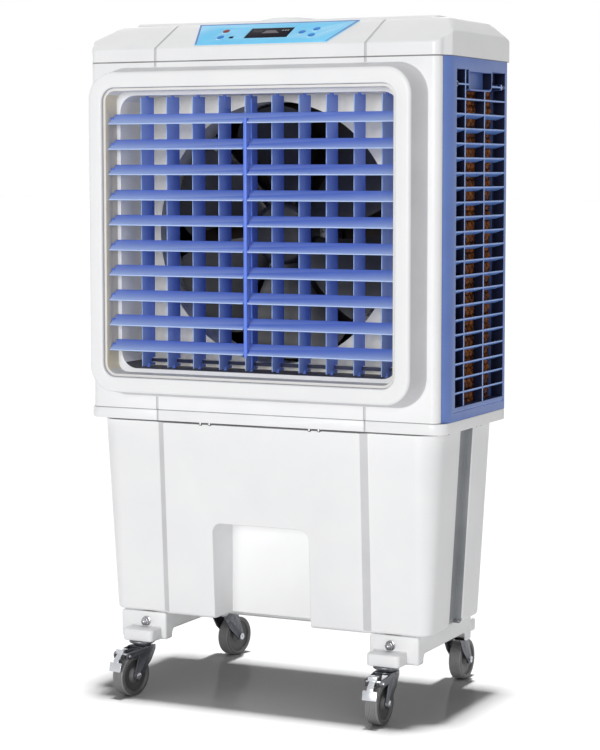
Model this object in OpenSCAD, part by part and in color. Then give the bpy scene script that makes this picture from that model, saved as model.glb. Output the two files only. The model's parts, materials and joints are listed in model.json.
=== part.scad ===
// Mobile evaporative cooler: a louvred fan housing with wet pads behind three grilles,
// standing on a tapered water tank and a moulded base frame with four swivel casters.
// Depths (y) are written from the front panel's face and moved into place by in_place().

/* [Housing] */
// Width of the housing over both side grilles
housing_w = 690; // [640:5:830]
// Depth of the housing from front panel to rear grille
housing_d = 290; // [280:5:350]
// Height of the housing between its lower and upper seam
housing_h = 612; // [596:2:745]
// Wall of the moulded shells
wall = 3; // [2.5:0.1:3.6]
// Radius of the front panel's upright edges
edge_r = 14; // [12:1:17]
// How far the slanted corner strip of a side grille steps outwards
strip_out = 10; // [8:1:12]
// Depth of the slanted corner strip
strip_d = 18; // [14:1:22]

/* [Front bezel and louvres] */
// How far the bezel stands out from the front panel
bezel_d = 56; // [50:1:68]
// Gap from the bezel to the side of the housing
bezel_side_gap = 39; // [32:1:46]
// Gap from the bezel to the lower seam
bezel_low_gap = 34; // [28:1:40]
// Gap from the bezel to the upper seam
bezel_top_gap = 19; // [16:1:23]
// Width of the bezel's front lip
bezel_lip = 27; // [22:1:32]
// Corner radius of the bezel
bezel_r = 46; // [40:1:55]
// Width of the step that frames the louvre opening
step_w = 12; // [10:1:14]
// Depth of the air duct behind the step
duct_d = 76; // [72:1:90]
// Chord of a horizontal slat
slat_chord = 33; // [28:1:36]
// Thickness of a horizontal slat
slat_t = 3; // [2.5:0.1:3.6]
// Downward tilt of the slats as set in the photograph
slat_tilt = 30; // [20:1:40]
// Distance from the opening's edge to the first slat's pivot
slat_end_gap = 42; // [36:1:48]
// Chord of an upright vane
vane_chord = 45; // [38:1:48]
// Thickness of an upright vane
vane_t = 2.6; // [2.2:0.1:3.2]
// Distance from the opening's edge to the first vane's pivot
vane_end_gap = 35; // [30:1:42]

/* [Fan] */
// Diameter over the fan blades
fan_d = 446; // [370:2:460]
// Gap between blade tips and shroud ring
tip_gap = 6; // [5:0.5:8]
// Length of the shroud ring
shroud_l = 62; // [56:1:68]
// Diameter of the fan's hub
hub_d = 112; // [96:2:128]
// Diameter of the motor shaft
shaft_d = 12; // [10:1:14]
// Diameter of the motor
motor_d = 124; // [110:2:140]

/* [Grilles and pads] */
// Depth of a grille's blades and frame
grille_t = 19; // [17:1:21]
// Thickness of a wet pad
pad_t = 36; // [30:1:40]
// Width of a grille's border
grille_border = 20; // [17:1:24]
// Number of horizontal blades in a grille
blade_n = 22; // [18:1:24]
// Width of the finger pocket at the top of a grille
pocket_w = 105; // [90:1:120]
// Height of the finger pocket
pocket_h = 32; // [26:1:36]

/* [Tank] */
// Height of the tank
tank_h = 352; // [290:2:424]
// How much each side of the tank leans in from top to bottom
tank_taper = 20; // [17:1:24]
// Inset of the tank's rim from the housing's side
rim_inset = 16; // [14:1:20]
// Corner radius of the tank at its bottom
tank_r = 24; // [20:1:28]
// Wall of the tank
tank_wall = 4; // [3.4:0.1:4.8]
// Width of the recess in the tank's front
recess_w = 188; // [160:2:220]
// Height of the recess above the tank's bottom
recess_h = 173; // [140:1:195]
// Depth of the recess
recess_d = 62; // [52:1:70]
// Width of the raised panel on the tank's front
raised_w = 406; // [360:2:440]
// Height of the ring between tank and housing
ring_h = 19; // [16:1:22]

/* [Top cover] */
// Height of the cover's upright front lip
lip_h = 23; // [20:1:27]
// Depth of the sloping control face
slope_d = 86; // [80:1:96]
// Rise of the sloping control face
slope_h = 45; // [40:1:50]
// Height of the raised middle of the top
plateau_h = 4; // [3:0.5:6]
// Diameter of the filler lid
lid_d = 108; // [96:2:120]
// Height of the filler lid's dome
lid_h = 15; // [12:1:18]
// Diameter of a push button
button_d = 13; // [11:0.5:14]

/* [Base and casters] */
// Width of a base beam
beam_w = 92; // [84:1:100]
// Height of a base beam
beam_h = 32; // [28:1:38]
// How far the feet reach below the beam
foot_drop = 16; // [13:1:19]
// Length of the front caster block
front_block_l = 36; // [32:1:42]
// Length of the rear caster block
rear_block_l = 80; // [68:1:90]
// Width of a caster block
block_w = 61; // [54:1:66]
// Diameter of a caster wheel
wheel_d = 75; // [62:1:80]
// Width of a caster wheel
wheel_w = 24; // [21:1:26]
// Height of a caster from floor to block
caster_h = 96; // [93:1:112]
// Distance from a caster's swivel axis to its axle
trail = 30; // [26:1:33]
// Turn of the left casters as parked
left_turn = -12; // [-20:1:20]

/* [Fits] */
// Gap round a pin that turns in its hole
pin_gap = 0.08; // [0.05:0.01:0.1]
// Gap between loosely fitted pieces
slip = 0.5; // [0.4:0.05:0.7]

/* [Hidden] */
$fn = 64;
eps = 0.01;
louvre_n = 10;

// Half sizes and levels
half_w = housing_w / 2;
panel_half = half_w - strip_out;
strip_y = edge_r + strip_d;
base_z = caster_h;
beam_z = base_z + foot_drop;
tank_z = beam_z + beam_h;
ring_z = tank_z + tank_h;
seam_low = ring_z + ring_h;
seam_top = seam_low + housing_h;
slope_z = seam_top + lip_h;
top_z = slope_z + slope_h;
plateau_z = top_z + plateau_h;
deck_z = ring_z + wall;
ring_corner = 28;
groove_x = 201;
groove_half = 1;

// Front opening, from the bezel inwards
bezel_w = housing_w - 2 * bezel_side_gap;
bezel_h = housing_h - bezel_low_gap - bezel_top_gap;
bezel_cz = seam_low + bezel_low_gap + bezel_h / 2;
mouth_w = bezel_w - 2 * bezel_lip;
mouth_h = bezel_h - 2 * bezel_lip;
mouth_r = bezel_r - bezel_lip + 5;
cheek_t = 5;
cheek_w = mouth_w - 2 * slip;
cheek_h = mouth_h - 2 * slip;
cheek_r = mouth_r - slip;
open_w = cheek_w - 2 * step_w;
open_h = cheek_h - 2 * step_w;
open_r = cheek_r + 6;
step_y = -10;
cheek_y = slip - bezel_d + 6;
duct_end = step_y + duct_d;

// Slats and vanes
slat_y = (cheek_y + step_y) / 2 + 1;
slat_pitch = (open_h - 2 * slat_end_gap) / (louvre_n - 1);
slat_len = cheek_w - 2 * cheek_t - 2;
slat_pin_r = 3;
link_r = 12;
link_pin_r = 1.6;
link_w = 6;
link_t = 6;
link_gap = 1.5;
notch_w = link_t + 2 * link_gap;
link_x = -4;
vane_y = step_y + 8 + vane_chord / 2 + 3;
vane_pitch = (open_w - 2 * vane_end_gap) / (louvre_n - 1);
vane_gap = 2.5;
vane_len = open_h - 2 * vane_gap;
vane_link_r = 15;
vane_link_z = bezel_cz - vane_len / 2 + 9;
drive_vane = 4;

// Fan, shroud and motor
fan_z = bezel_cz;
ring_r = fan_d / 2 + tip_gap;
shroud_y = duct_end;
bracket_y = shroud_y + wall + shroud_l;
bracket_t = 5;
motor_y = bracket_y + bracket_t;
motor_l = 78;
fan_y = shroud_y + wall + shroud_l / 2 - 2;
hub_l = 48;
hub_wall = 5;

// Grilles, pads and water circuit
grille_in = half_w - grille_t;
rear_in = housing_d - grille_t;
pad_gap = 1;
pad_out = grille_in - pad_gap;
pad_in = pad_out - pad_t;
pad_back = rear_in - pad_gap;
pad_front = shroud_y + wall + pad_gap;
trough_h = 20;
trough_wall = 2.5;
pad_top = seam_top - trough_h - 15;
riser_x = pad_in - 32;
riser_y = pad_back - pad_t - 56;
riser_r = 9;
riser_z = pad_top + trough_h / 2 + 1;
pump_h = 72;

// Tank corners: cones about fixed upright axes make the taper
tank_top_half = half_w - rim_inset;
corner_x = tank_top_half - tank_r - tank_taper;
tank_front = 8;
tank_back = housing_d - 4;
corner_front = tank_front + tank_r + tank_taper;
corner_back = tank_back - tank_r - tank_taper;
foot_front = tank_front + tank_taper;
taper_angle = atan(tank_taper / tank_h);
tank_floor = 5;
recess_x = -4;
raised_t = 7;
channel_w = 60;
channel_d = 14;
channel_y = (tank_front + tank_back) / 2 + 1;

// Base frame
plate_t = 6;
base_front = foot_front - plate_t / 2;
base_back = tank_back - tank_taper + plate_t;
beam_x = tank_top_half - tank_taper - 17 - beam_w / 2;
block_x = beam_x - 6;
block_h = 22;
bolt_z = base_z + 31;
bolt_r = 4;
lug_w = 24;
front_pivot = base_front - 17;
rear_pivot = base_back + rear_block_l - 24;
pedal_reach = 74;
front_y = -(front_pivot - pedal_reach + rear_pivot + trail + wheel_d / 2) / 2;

// Control face
slope_angle = atan(slope_h / slope_d);
slope_l = sqrt(slope_h * slope_h + slope_d * slope_d);
face_t = 3;
lid_x = -12;
lid_y = slope_d + 10 + lid_d / 2;
filler_r = lid_d / 2 - 14;
lid_seat = 1;
button_travel = 1.5;
button_spots = [
    ["power_button", -89, 62],
    ["swing_button", -89, 37],
    ["pump_button", 63, 49.5],
    ["speed_button", 86, 61],
    ["timer_button", 86, 36]
];

white = [0.95, 0.95, 0.96];
blue = [0.36, 0.46, 0.78];
steel = [0.62, 0.63, 0.65];
black = [0.09, 0.09, 0.1];

// General helpers

module in_place() translate([0, front_y, 0]) children();

module both_sides() {
    children();
    mirror([1, 0, 0]) children();
}

// A box given by its low and high value on each axis
module box(x, y, z) {
    translate([x[0], y[0], z[0]]) cube([x[1] - x[0], y[1] - y[0], z[1] - z[0]]);
}

// Profiles drawn as (y, z), (x, z) or (x, y) and pushed along the third axis
module along_x(x0, x1) translate([x0, 0, 0]) rotate([90, 0, 90]) linear_extrude(x1 - x0) children();
module along_y(y0, y1) translate([0, y1, 0]) rotate([90, 0, 0]) linear_extrude(y1 - y0) children();
module along_z(z0, z1) translate([0, 0, z0]) linear_extrude(z1 - z0) children();

// Upright opening on the front: a rounded rectangle about the bezel's centre
module round_rect(w, h, r) {
    square([w - 2 * r, h], center = true);
    square([w, h - 2 * r], center = true);
    for (sx = [-1, 1], sz = [-1, 1]) translate([sx * (w / 2 - r), sz * (h / 2 - r)]) circle(r);
}

module front_frame(w, h, r) translate([0, bezel_cz]) round_rect(w, h, r);

// Plan outline of housing, ring and cover, moved inwards by t
module body_outline(t) {
    polygon([
        [-half_w + t, strip_y], [-panel_half + t, edge_r], [panel_half - t, edge_r],
        [half_w - t, strip_y], [half_w - t, housing_d - t], [-half_w + t, housing_d - t]
    ]);
    translate([-panel_half + edge_r, t]) square([2 * (panel_half - edge_r), edge_r - t + eps]);
    for (side = [-1, 1]) translate([side * (panel_half - edge_r), edge_r]) circle(edge_r - t);
}

// Tank

function tank_r_at(z) = tank_r + tank_taper * (z - tank_z) / tank_h;

// Tapered tank body between two heights, its walls moved inwards by t
module tank_form(t, z0, z1) {
    r0 = tank_r_at(z0) - t;
    r1 = tank_r_at(z1) - t;
    for (sx = [-1, 1], y = [corner_front, corner_back])
        translate([sx * corner_x, y, z0]) cylinder(h = z1 - z0, r1 = r0, r2 = r1);
    along_x(-corner_x, corner_x) polygon([
        [corner_front - r0, z0], [corner_back + r0, z0], [corner_back + r1, z1], [corner_front - r1, z1]
    ]);
    along_y(corner_front, corner_back) polygon([
        [-corner_x - r0, z0], [corner_x + r0, z0], [corner_x + r1, z1], [-corner_x - r1, z1]
    ]);
}

// Arch profile of the front recess, grown by g
module recess_profile(g) {
    r = 18;
    half = recess_w / 2;
    spring_z = tank_z + recess_h - r;
    translate([recess_x - half - g, tank_z - 1]) square([2 * (half + g), spring_z - tank_z + 1]);
    translate([recess_x - half + r, spring_z - 1]) square([2 * (half - r), r + g + 1]);
    for (side = [-1, 1]) translate([recess_x + side * (half - r), spring_z]) circle(r + g);
}

// Upright channel in the tank's right side, grown by g
module side_channel(g) {
    translate([corner_x + tank_r, 0, tank_z]) rotate([0, taper_angle, 0])
        box([-channel_d - g, 12], [channel_y - channel_w / 2 - g, channel_y + channel_w / 2 + g],
            [-8, tank_h + 12]);
}

// Snap hooks under the ring, on the front and on both sides of the tank's rim
hook_x = [-115, -97, 97, 115];
hook_y = [62, 192, 214];
hook_w = 6;
hook_l = 5;
hook_t = 1.5;

// Hooks of the ring, or with a gap g the slots in the tank's rim that take them
module snap_hooks(g) {
    low = ring_z - hook_l - g;
    half = hook_w / 2 + g;
    for (x = hook_x) box([x - half, x + half], [-g, 3 + 4 * g], [low, ring_z + 1]);
    both_sides() for (y = hook_y)
        box([tank_top_half - hook_t - g, tank_top_half + hook_t + 1 + g], [y - half, y + half], [low, ring_z + 1]);
}

// Two shallow grooves that run up the front, cut between two heights
module front_grooves(z0, z1) both_sides()
    box([groove_x - groove_half, groove_x + groove_half], [-1, groove_half], [z0, z1]);

// Plan outline of the ring under the housing, with wide front corners, moved inwards by t
module ring_outline(t) {
    r = ring_corner;
    translate([-half_w + t, r]) square([2 * (half_w - t), housing_d - t - r]);
    translate([-half_w + r, t]) square([2 * (half_w - r), r - t + eps]);
    for (side = [-1, 1]) translate([side * (half_w - r), r]) circle(r - t);
}

module water_tank() color(white) in_place() {
    difference() {
        union() {
            tank_form(0, tank_z, ring_z);
            translate([0, foot_front, tank_z]) rotate([taper_angle, 0, 0])
                along_z(1, tank_h - 1) polygon([
                    [-raised_w / 2, 2], [-raised_w / 2 + raised_t, -raised_t],
                    [raised_w / 2 - raised_t, -raised_t], [raised_w / 2, 2]
                ]);
            both_sides() for (y = [base_front + plate_t + 1, base_back - plate_t - 1 - lug_w])
                box([block_x - lug_w / 2, block_x + lug_w / 2], [y, y + lug_w], [beam_z, tank_z + 1]);
        }
        difference() {
            tank_form(tank_wall, tank_z + tank_floor, ring_z + 1);
            along_y(-20, foot_front + recess_d + tank_wall) recess_profile(tank_wall);
            both_sides() side_channel(tank_wall);
        }
        along_y(-20, foot_front + recess_d) recess_profile(0);
        both_sides() side_channel(0);
        snap_hooks(slip);
        both_sides() translate([block_x, base_back + 1, bolt_z]) rotate([90, 0, 0])
            cylinder(h = base_back - base_front + 2, r = bolt_r + pin_gap);
    }
}

// Base frame: two channel beams with feet and caster blocks, tied by a rear crossbar

// Side outline of a beam, with rounded hollows between the feet and the span
module beam_profile() {
    r = 10;
    foot_l = 25;
    difference() {
        translate([base_front, base_z]) square([base_back - base_front, tank_z - base_z]);
        translate([base_front + foot_l + r, base_z - 1])
            square([base_back - base_front - 2 * (foot_l + r), foot_drop + 1]);
        translate([base_front + foot_l, base_z - 1])
            square([base_back - base_front - 2 * foot_l, foot_drop - r + 1]);
        for (y = [base_front + foot_l + r, base_back - foot_l - r])
            translate([y, beam_z - r]) circle(r);
    }
}

module caster_block(y0, y1) {
    r = 8;
    along_z(base_z, base_z + block_h) translate([block_x, (y0 + y1) / 2])
        round_rect(block_w, y1 - y0, r);
}

module base_frame() color(white) in_place() {
    side_wall = 5;
    cross_w = 26;
    difference() {
        union() {
            both_sides() {
                along_x(beam_x - beam_w / 2, beam_x + beam_w / 2) beam_profile();
                caster_block(base_front - front_block_l, base_front + plate_t);
                caster_block(base_back - plate_t, base_back + rear_block_l);
            }
            box([-beam_x, beam_x], [base_back - plate_t - lug_w - cross_w - 6, base_back - plate_t - lug_w - 6],
                [beam_z, tank_z - 8]);
        }
        both_sides() {
            box([beam_x - beam_w / 2 + side_wall, beam_x + beam_w / 2 - side_wall],
                [base_front + plate_t, base_back - plate_t], [base_z - 1, tank_z - side_wall]);
            for (y = [base_front + plate_t + 1, base_back - plate_t - 1 - lug_w])
                box([block_x - lug_w / 2 - slip, block_x + lug_w / 2 + slip], [y - slip, y + lug_w + slip],
                    [beam_z, tank_z + 1]);
            translate([block_x, base_back + 1, bolt_z]) rotate([90, 0, 0])
                cylinder(h = base_back - base_front + 2, r = bolt_r + pin_gap);
        }
        box([-beam_x + beam_w / 2, beam_x - beam_w / 2],
            [base_back - plate_t - lug_w - cross_w - 6 + side_wall, base_back - plate_t - lug_w - 6 - side_wall],
            [beam_z - 1, tank_z - 8 - side_wall]);
    }
}

// Bolt with a domed cap nut outside the foot plate, on its own axis pointing out
module capped_bolt() {
    washer_t = 1.6;
    nut_h = 7;
    rotate([90, 0, 0]) {
        translate([0, 0, -plate_t - lug_w]) cylinder(h = plate_t + lug_w, r = bolt_r);
        cylinder(h = washer_t, r = 9);
        translate([0, 0, washer_t]) cylinder(h = nut_h, r = 7.5, $fn = 6);
        translate([0, 0, washer_t + nut_h]) intersection() {
            sphere(6);
            translate([0, 0, 3]) cube([14, 14, 6], center = true);
        }
    }
}

module base_bolts() color(steel) in_place() both_sides() {
    translate([block_x, base_front, bolt_z]) capped_bolt();
    translate([block_x, base_back, bolt_z]) rotate([0, 0, 180]) capped_bolt();
}

// Ring between tank and housing, with the deck that carries shroud and pads and a cable gland behind
module mid_frame() color(white) in_place() {
    gland_x = 240;
    gland_r = 8;
    gland_l = 10;
    cable_r = 4;
    difference() {
        union() {
            along_z(ring_z, seam_low) ring_outline(0);
            snap_hooks(0);
            translate([gland_x, housing_d - 1, ring_z + ring_h / 2]) rotate([-90, 0, 0])
                cylinder(h = gland_l + 1, r = gland_r);
        }
        along_z(deck_z, seam_low + 1) ring_outline(wall);
        front_grooves(ring_z - 1, seam_low + 1);
        translate([gland_x, housing_d - wall - 1, ring_z + ring_h / 2]) rotate([-90, 0, 0])
            cylinder(h = wall + gland_l + 2, r = cable_r);
        box([-pad_in + 8, pad_in - 8], [pad_front + 30, pad_back - pad_t - 6], [ring_z - 1, deck_z + 1]);
    }
}

// Front panel with its hollow projecting bezel
module front_panel() color(white) in_place() {
    draft = 9;
    nose = 5;
    shell = 3;
    difference() {
        union() {
            difference() {
                along_z(seam_low, seam_top) intersection() {
                    body_outline(0);
                    translate([-half_w, 0]) square([housing_w, edge_r]);
                }
                front_grooves(seam_low - 1, seam_top + 1);
            }
            hull() {
                along_y(-1, 0) front_frame(bezel_w + 2 * draft, bezel_h + 2 * draft, bezel_r + draft, $fn = 48);
                along_y(nose - bezel_d, nose - bezel_d + 1) front_frame(bezel_w, bezel_h, bezel_r, $fn = 48);
                along_y(-bezel_d, 1 - bezel_d)
                    front_frame(bezel_w - 2 * nose, bezel_h - 2 * nose, bezel_r - nose, $fn = 48);
            }
        }
        along_z(seam_low - 1, seam_top + 1) body_outline(wall);
        along_y(-bezel_d - 1, wall + 1) front_frame(mouth_w, mouth_h, mouth_r);
        along_y(shell - bezel_d, wall + 1) difference() {
            front_frame(bezel_w - 2 * nose - 2 * shell, bezel_h - 2 * nose - 2 * shell, bezel_r - nose - shell);
            front_frame(mouth_w + 2 * shell, mouth_h + 2 * shell, mouth_r + shell);
        }
    }
}

function slat_z(i) = bezel_cz + open_h / 2 - slat_end_gap - i * slat_pitch;
function vane_x(i) = -open_w / 2 + vane_end_gap + i * vane_pitch;

// Louvre frame: cheeks that hold the slats, a step, and the duct that holds the vanes
module louvre_frame() color(white) in_place() {
    difference() {
        union() {
            along_y(cheek_y, step_y + wall) front_frame(cheek_w, cheek_h, cheek_r);
            along_y(step_y, duct_end) front_frame(open_w + 2 * wall, open_h + 2 * wall, open_r + wall);
        }
        along_y(cheek_y - 1, step_y) front_frame(cheek_w - 2 * cheek_t, cheek_h - 2 * cheek_t, cheek_r - cheek_t);
        along_y(step_y - 1, duct_end + 1) front_frame(open_w, open_h, open_r);
        for (i = [0 : louvre_n - 1]) {
            translate([-cheek_w / 2 - 1, slat_y, slat_z(i)]) rotate([0, 90, 0])
                cylinder(h = cheek_w + 2, r = slat_pin_r + pin_gap);
            translate([vane_x(i), vane_y, bezel_cz - open_h / 2 - wall - 1])
                cylinder(h = open_h + 2 * wall + 2, r = slat_pin_r + pin_gap);
        }
    }
}

// One horizontal slat, tilted as set, with end pins and a notch bridged by the link pin
module slat(i) color(blue) in_place() translate([0, slat_y, slat_z(i)]) rotate([slat_tilt, 0, 0]) {
    half = slat_chord / 2;
    difference() {
        along_x(-slat_len / 2, slat_len / 2) {
            polygon([[-half + slat_t / 2, -slat_t / 2], [half, -slat_t / 4], [half, slat_t / 4],
                [-half + slat_t / 2, slat_t / 2]]);
            translate([-half + slat_t / 2, 0]) circle(slat_t / 2);
        }
        box([link_x - notch_w / 2, link_x + notch_w / 2], [-half - 1, link_w + 2 - link_r], [-slat_t, slat_t]);
    }
    for (side = [-1, 1]) translate([side * (slat_len / 2 - 4), 0, 0]) rotate([0, 90 * side, 0])
        cylinder(h = cheek_t + 5, r = slat_pin_r);
    translate([link_x - notch_w / 2 - 1, -link_r, 0]) rotate([0, 90, 0])
        cylinder(h = notch_w + 2, r = link_pin_r);
}

// Upright tie bar in the slats' front notches, one hole for each slat's pin
module slat_link() color(blue) in_place() {
    y = slat_y - link_r * cos(slat_tilt);
    z_at = -link_r * sin(slat_tilt);
    difference() {
        box([link_x - link_t / 2, link_x + link_t / 2], [y - link_w / 2, y + link_w / 2],
            [slat_z(louvre_n - 1) + z_at - link_w, slat_z(0) + z_at + link_w]);
        for (i = [0 : louvre_n - 1]) translate([link_x - link_t, y, slat_z(i) + z_at]) rotate([0, 90, 0])
            cylinder(h = 2 * link_t, r = link_pin_r + pin_gap);
    }
}

// One upright vane with end pins and a notch bridged by its link pin
module vane(i) color(blue * 0.85) in_place() translate([vane_x(i), vane_y, bezel_cz]) {
    half = vane_chord / 2;
    pin_l = i == drive_vane ? 13 : wall;
    difference() {
        along_z(-vane_len / 2, vane_len / 2) {
            polygon([[-vane_t / 2, -half + vane_t / 2], [vane_t / 2, -half + vane_t / 2],
                [vane_t / 4, half], [-vane_t / 4, half]]);
            translate([0, -half + vane_t / 2]) circle(vane_t / 2);
            if (i == drive_vane) circle(slat_pin_r);
        }
        box([-vane_t, vane_t], [vane_link_r - link_w, half + 1],
            [vane_link_z - notch_w / 2 - bezel_cz, vane_link_z + notch_w / 2 - bezel_cz]);
    }
    translate([0, 0, vane_len / 2 - 8]) cylinder(h = 8 + vane_gap + wall, r = slat_pin_r);
    translate([0, 0, -vane_len / 2 - vane_gap - pin_l]) cylinder(h = 8 + vane_gap + pin_l, r = slat_pin_r);
    translate([0, vane_link_r, vane_link_z - notch_w / 2 - 1 - bezel_cz])
        cylinder(h = notch_w + 2, r = link_pin_r * 0.75);
}

// Level tie bar behind the vanes, one hole for each vane's pin
module vane_link() color(blue * 0.85) in_place() {
    y = vane_y + vane_link_r;
    difference() {
        box([vane_x(0) - link_w, vane_x(louvre_n - 1) + link_w], [y - link_w / 2, y + link_w / 2],
            [vane_link_z - link_t / 2, vane_link_z + link_t / 2]);
        for (i = [0 : louvre_n - 1]) translate([vane_x(i), y, vane_link_z - link_t])
            cylinder(h = 2 * link_t, r = link_pin_r * 0.75 + pin_gap);
    }
}

// Motor that swings the vanes, held under the duct on the driven vane's axis
module swing_motor() color(steel) in_place() {
    can_r = 17.5;
    can_h = 18;
    boss_h = 4;
    ear_w = 54;
    duct_low = bezel_cz - open_h / 2 - wall;
    translate([vane_x(drive_vane), vane_y, duct_low - boss_h - can_h]) difference() {
        union() {
            cylinder(h = can_h, r = can_r);
            translate([0, 0, can_h]) cylinder(h = boss_h, r = 9);
            box([-ear_w / 2, ear_w / 2], [-8, 8], [can_h - 2, can_h]);
            for (side = [-1, 1]) translate([side * (ear_w / 2 - 6), 0, can_h]) cylinder(h = boss_h, r = 5);
        }
        translate([0, 0, can_h + boss_h - 12]) cylinder(h = 13, r = slat_pin_r + pin_gap);
    }
}

// Shroud: wall across the housing with the ring round the fan
module fan_shroud() color([0.72, 0.71, 0.73]) in_place() {
    top = seam_top - wall;
    difference() {
        union() {
            box([-pad_out, pad_out], [shroud_y, shroud_y + wall], [deck_z, top]);
            translate([0, bracket_y, fan_z]) rotate([90, 0, 0])
                cylinder(h = bracket_y - shroud_y, r = ring_r + wall);
        }
        translate([0, bracket_y + 1, fan_z]) rotate([90, 0, 0])
            cylinder(h = bracket_y - shroud_y + 2, r = ring_r);
    }
}

// Fan blades: helical sheets with a camber and rounded tips
blade_n_fan = 6;
blade_span = 24;
blade_rows = 8;
blade_cols = 8;
blade_t = 3;

function blade_tip(t) = fan_d / 2 * (1 - 0.1 * pow(abs(t), 3));
function blade_point(i, j, side) =
    let (
        t = 2 * j / blade_cols - 1,
        root = hub_d / 2 - 4,
        r = root + (blade_tip(t) - root) * i / blade_rows,
        share = (r - root) / (fan_d / 2 - root),
        span = blade_span * (0.95 + 0.1 * share),
        turn = t * span - 10 * share * share,
        pitch = 36 - 16 * share,
        y = -tan(pitch) * r * t * span * PI / 180 * 0.62 - 5 * (1 - t * t) + side * blade_t / 2
    ) [r * sin(turn), y, r * cos(turn)];

module fan_blade() {
    cols = blade_cols + 1;
    layer = cols * (blade_rows + 1);
    points = [for (side = [-1, 1], i = [0 : blade_rows], j = [0 : blade_cols]) blade_point(i, j, side)];
    faces = concat(
        [for (i = [0 : blade_rows - 1], j = [0 : blade_cols - 1]) each
            let (a = i * cols + j) [[a, a + cols + 1, a + 1], [a, a + cols, a + cols + 1]]],
        [for (i = [0 : blade_rows - 1], j = [0 : blade_cols - 1]) each
            let (a = layer + i * cols + j) [[a, a + 1, a + cols + 1], [a, a + cols + 1, a + cols]]],
        [for (i = [0 : blade_rows - 1]) each
            let (a = i * cols, b = a + blade_cols)
            [[a, layer + a + cols, a + cols], [a, layer + a, layer + a + cols],
             [b, b + cols, layer + b + cols], [b, layer + b + cols, layer + b]]],
        [for (j = [0 : blade_cols - 1]) each
            let (a = j, b = blade_rows * cols + j)
            [[a, a + 1, layer + a + 1], [a, layer + a + 1, layer + a],
             [b, layer + b + 1, b + 1], [b, layer + b, layer + b + 1]]]
    );
    polyhedron(points, faces);
}

// Half section of the hub: a cup with a rounded nose, open to the rear, and a boss for the shaft
module hub_profile() {
    nose_r = 12;
    boss_r = shaft_d / 2 + 7;
    half = hub_l / 2;
    difference() {
        union() {
            translate([0, -half]) square([hub_d / 2, hub_l - nose_r]);
            translate([0, half - nose_r - 1]) square([hub_d / 2 - nose_r, nose_r + 1]);
            translate([hub_d / 2 - nose_r, half - nose_r]) intersection() {
                circle(nose_r);
                square(nose_r);
            }
        }
        translate([boss_r, -half - 1]) square([hub_d / 2 - hub_wall - boss_r, hub_l - hub_wall - nose_r / 2]);
    }
}

module fan() color(black) in_place() translate([0, fan_y, fan_z]) {
    for (i = [0 : blade_n_fan - 1]) rotate([0, i * 360 / blade_n_fan, 0]) fan_blade();
    rotate([90, 0, 0]) rotate_extrude() hub_profile();
    translate([0, motor_y + motor_l / 2 - fan_y, 0]) rotate([90, 0, 0])
        cylinder(h = motor_y + motor_l / 2 - fan_y, r = shaft_d / 2);
}

// Four-armed plate on the ring's rear edge, carrying the motor
module motor_bracket() color(steel) in_place() {
    arm_w = 26;
    arm_l = ring_r + wall + 8;
    along_y(bracket_y, bracket_y + bracket_t) translate([0, fan_z]) difference() {
        union() {
            for (a = [45, 135]) rotate(a) square([2 * arm_l, arm_w], center = true);
            circle(motor_d / 2 + 8);
        }
        circle(motor_d / 4);
    }
}

module fan_motor() color([0.3, 0.31, 0.33]) in_place() translate([0, motor_y, fan_z]) {
    difference() {
        union() {
            translate([0, motor_l, 0]) rotate([90, 0, 0]) cylinder(h = motor_l, r = motor_d / 2);
            translate([0, motor_l + 6, 0]) rotate([90, 0, 0]) cylinder(h = 7, r = motor_d / 3);
            rotate([90, 0, 0]) cylinder(h = bracket_t, r = motor_d / 4 - slip);
        }
        translate([0, motor_l / 2 + 1, 0]) rotate([90, 0, 0])
            cylinder(h = motor_l, r = shaft_d / 2 + pin_gap);
    }
}

// Grilles: a bordered panel with level blades, upright bars and a finger pocket,
// drawn in the plane of the panel: u across, outer face at depth 0, inwards positive

// Finger pocket hanging h below z, with round lower corners, grown by g at its sides and bottom
module pocket_profile(mid, z, h, g) {
    r = 8;
    half = pocket_w / 2;
    translate([mid - half - g, z - h + r]) square([2 * (half + g), h - r]);
    translate([mid - half + r, z - h - g]) square([2 * (half - r), h + g]);
    for (side = [-1, 1]) translate([mid + side * (half - r), z - h + r]) circle(r + g);
}

module grille_panel(u0, u1, bars) {
    low = seam_low + grille_border + 3;
    high = seam_top - grille_border;
    pitch = (high - low) / (blade_n + 1);
    blade_t_g = 2.6;
    mid = (u0 + u1) / 2;
    groove_z = seam_low + grille_border - 5;
    shell = 2.5;
    boss_r = 5;
    boss_in = 1.5;
    top_blade = low + blade_n * pitch;
    difference() {
        union() {
            difference() {
                box([u0, u1], [0, grille_t], [seam_low, seam_top]);
                box([u0 + grille_border, u1 - grille_border / 2], [-1, grille_t + 1], [low, high]);
                box([u0 + grille_border / 2, u1 - grille_border / 4], [-1, 2], [groove_z, groove_z + 2.5]);
            }
            for (k = [1 : blade_n])
                box([u0 + grille_border / 2, u1 - grille_border / 4], [1, grille_t - 1],
                    [low + k * pitch - blade_t_g / 2, low + k * pitch + blade_t_g / 2]);
            for (u = bars) box([u - 2, u + 2], [2, grille_t], [low - 1, high + 1]);
            along_y(0, grille_t) pocket_profile(mid, high + 1, pocket_h + 1, shell);
            for (u = [u0 + grille_border + boss_r - boss_in, u1 - grille_border - boss_r])
                translate([u, grille_t, top_blade]) rotate([90, 0, 0]) cylinder(h = grille_t - 1, r = boss_r);
        }
        along_y(-1, grille_t - shell) pocket_profile(mid, high - shell, pocket_h - shell, 0);
    }
}

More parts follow.
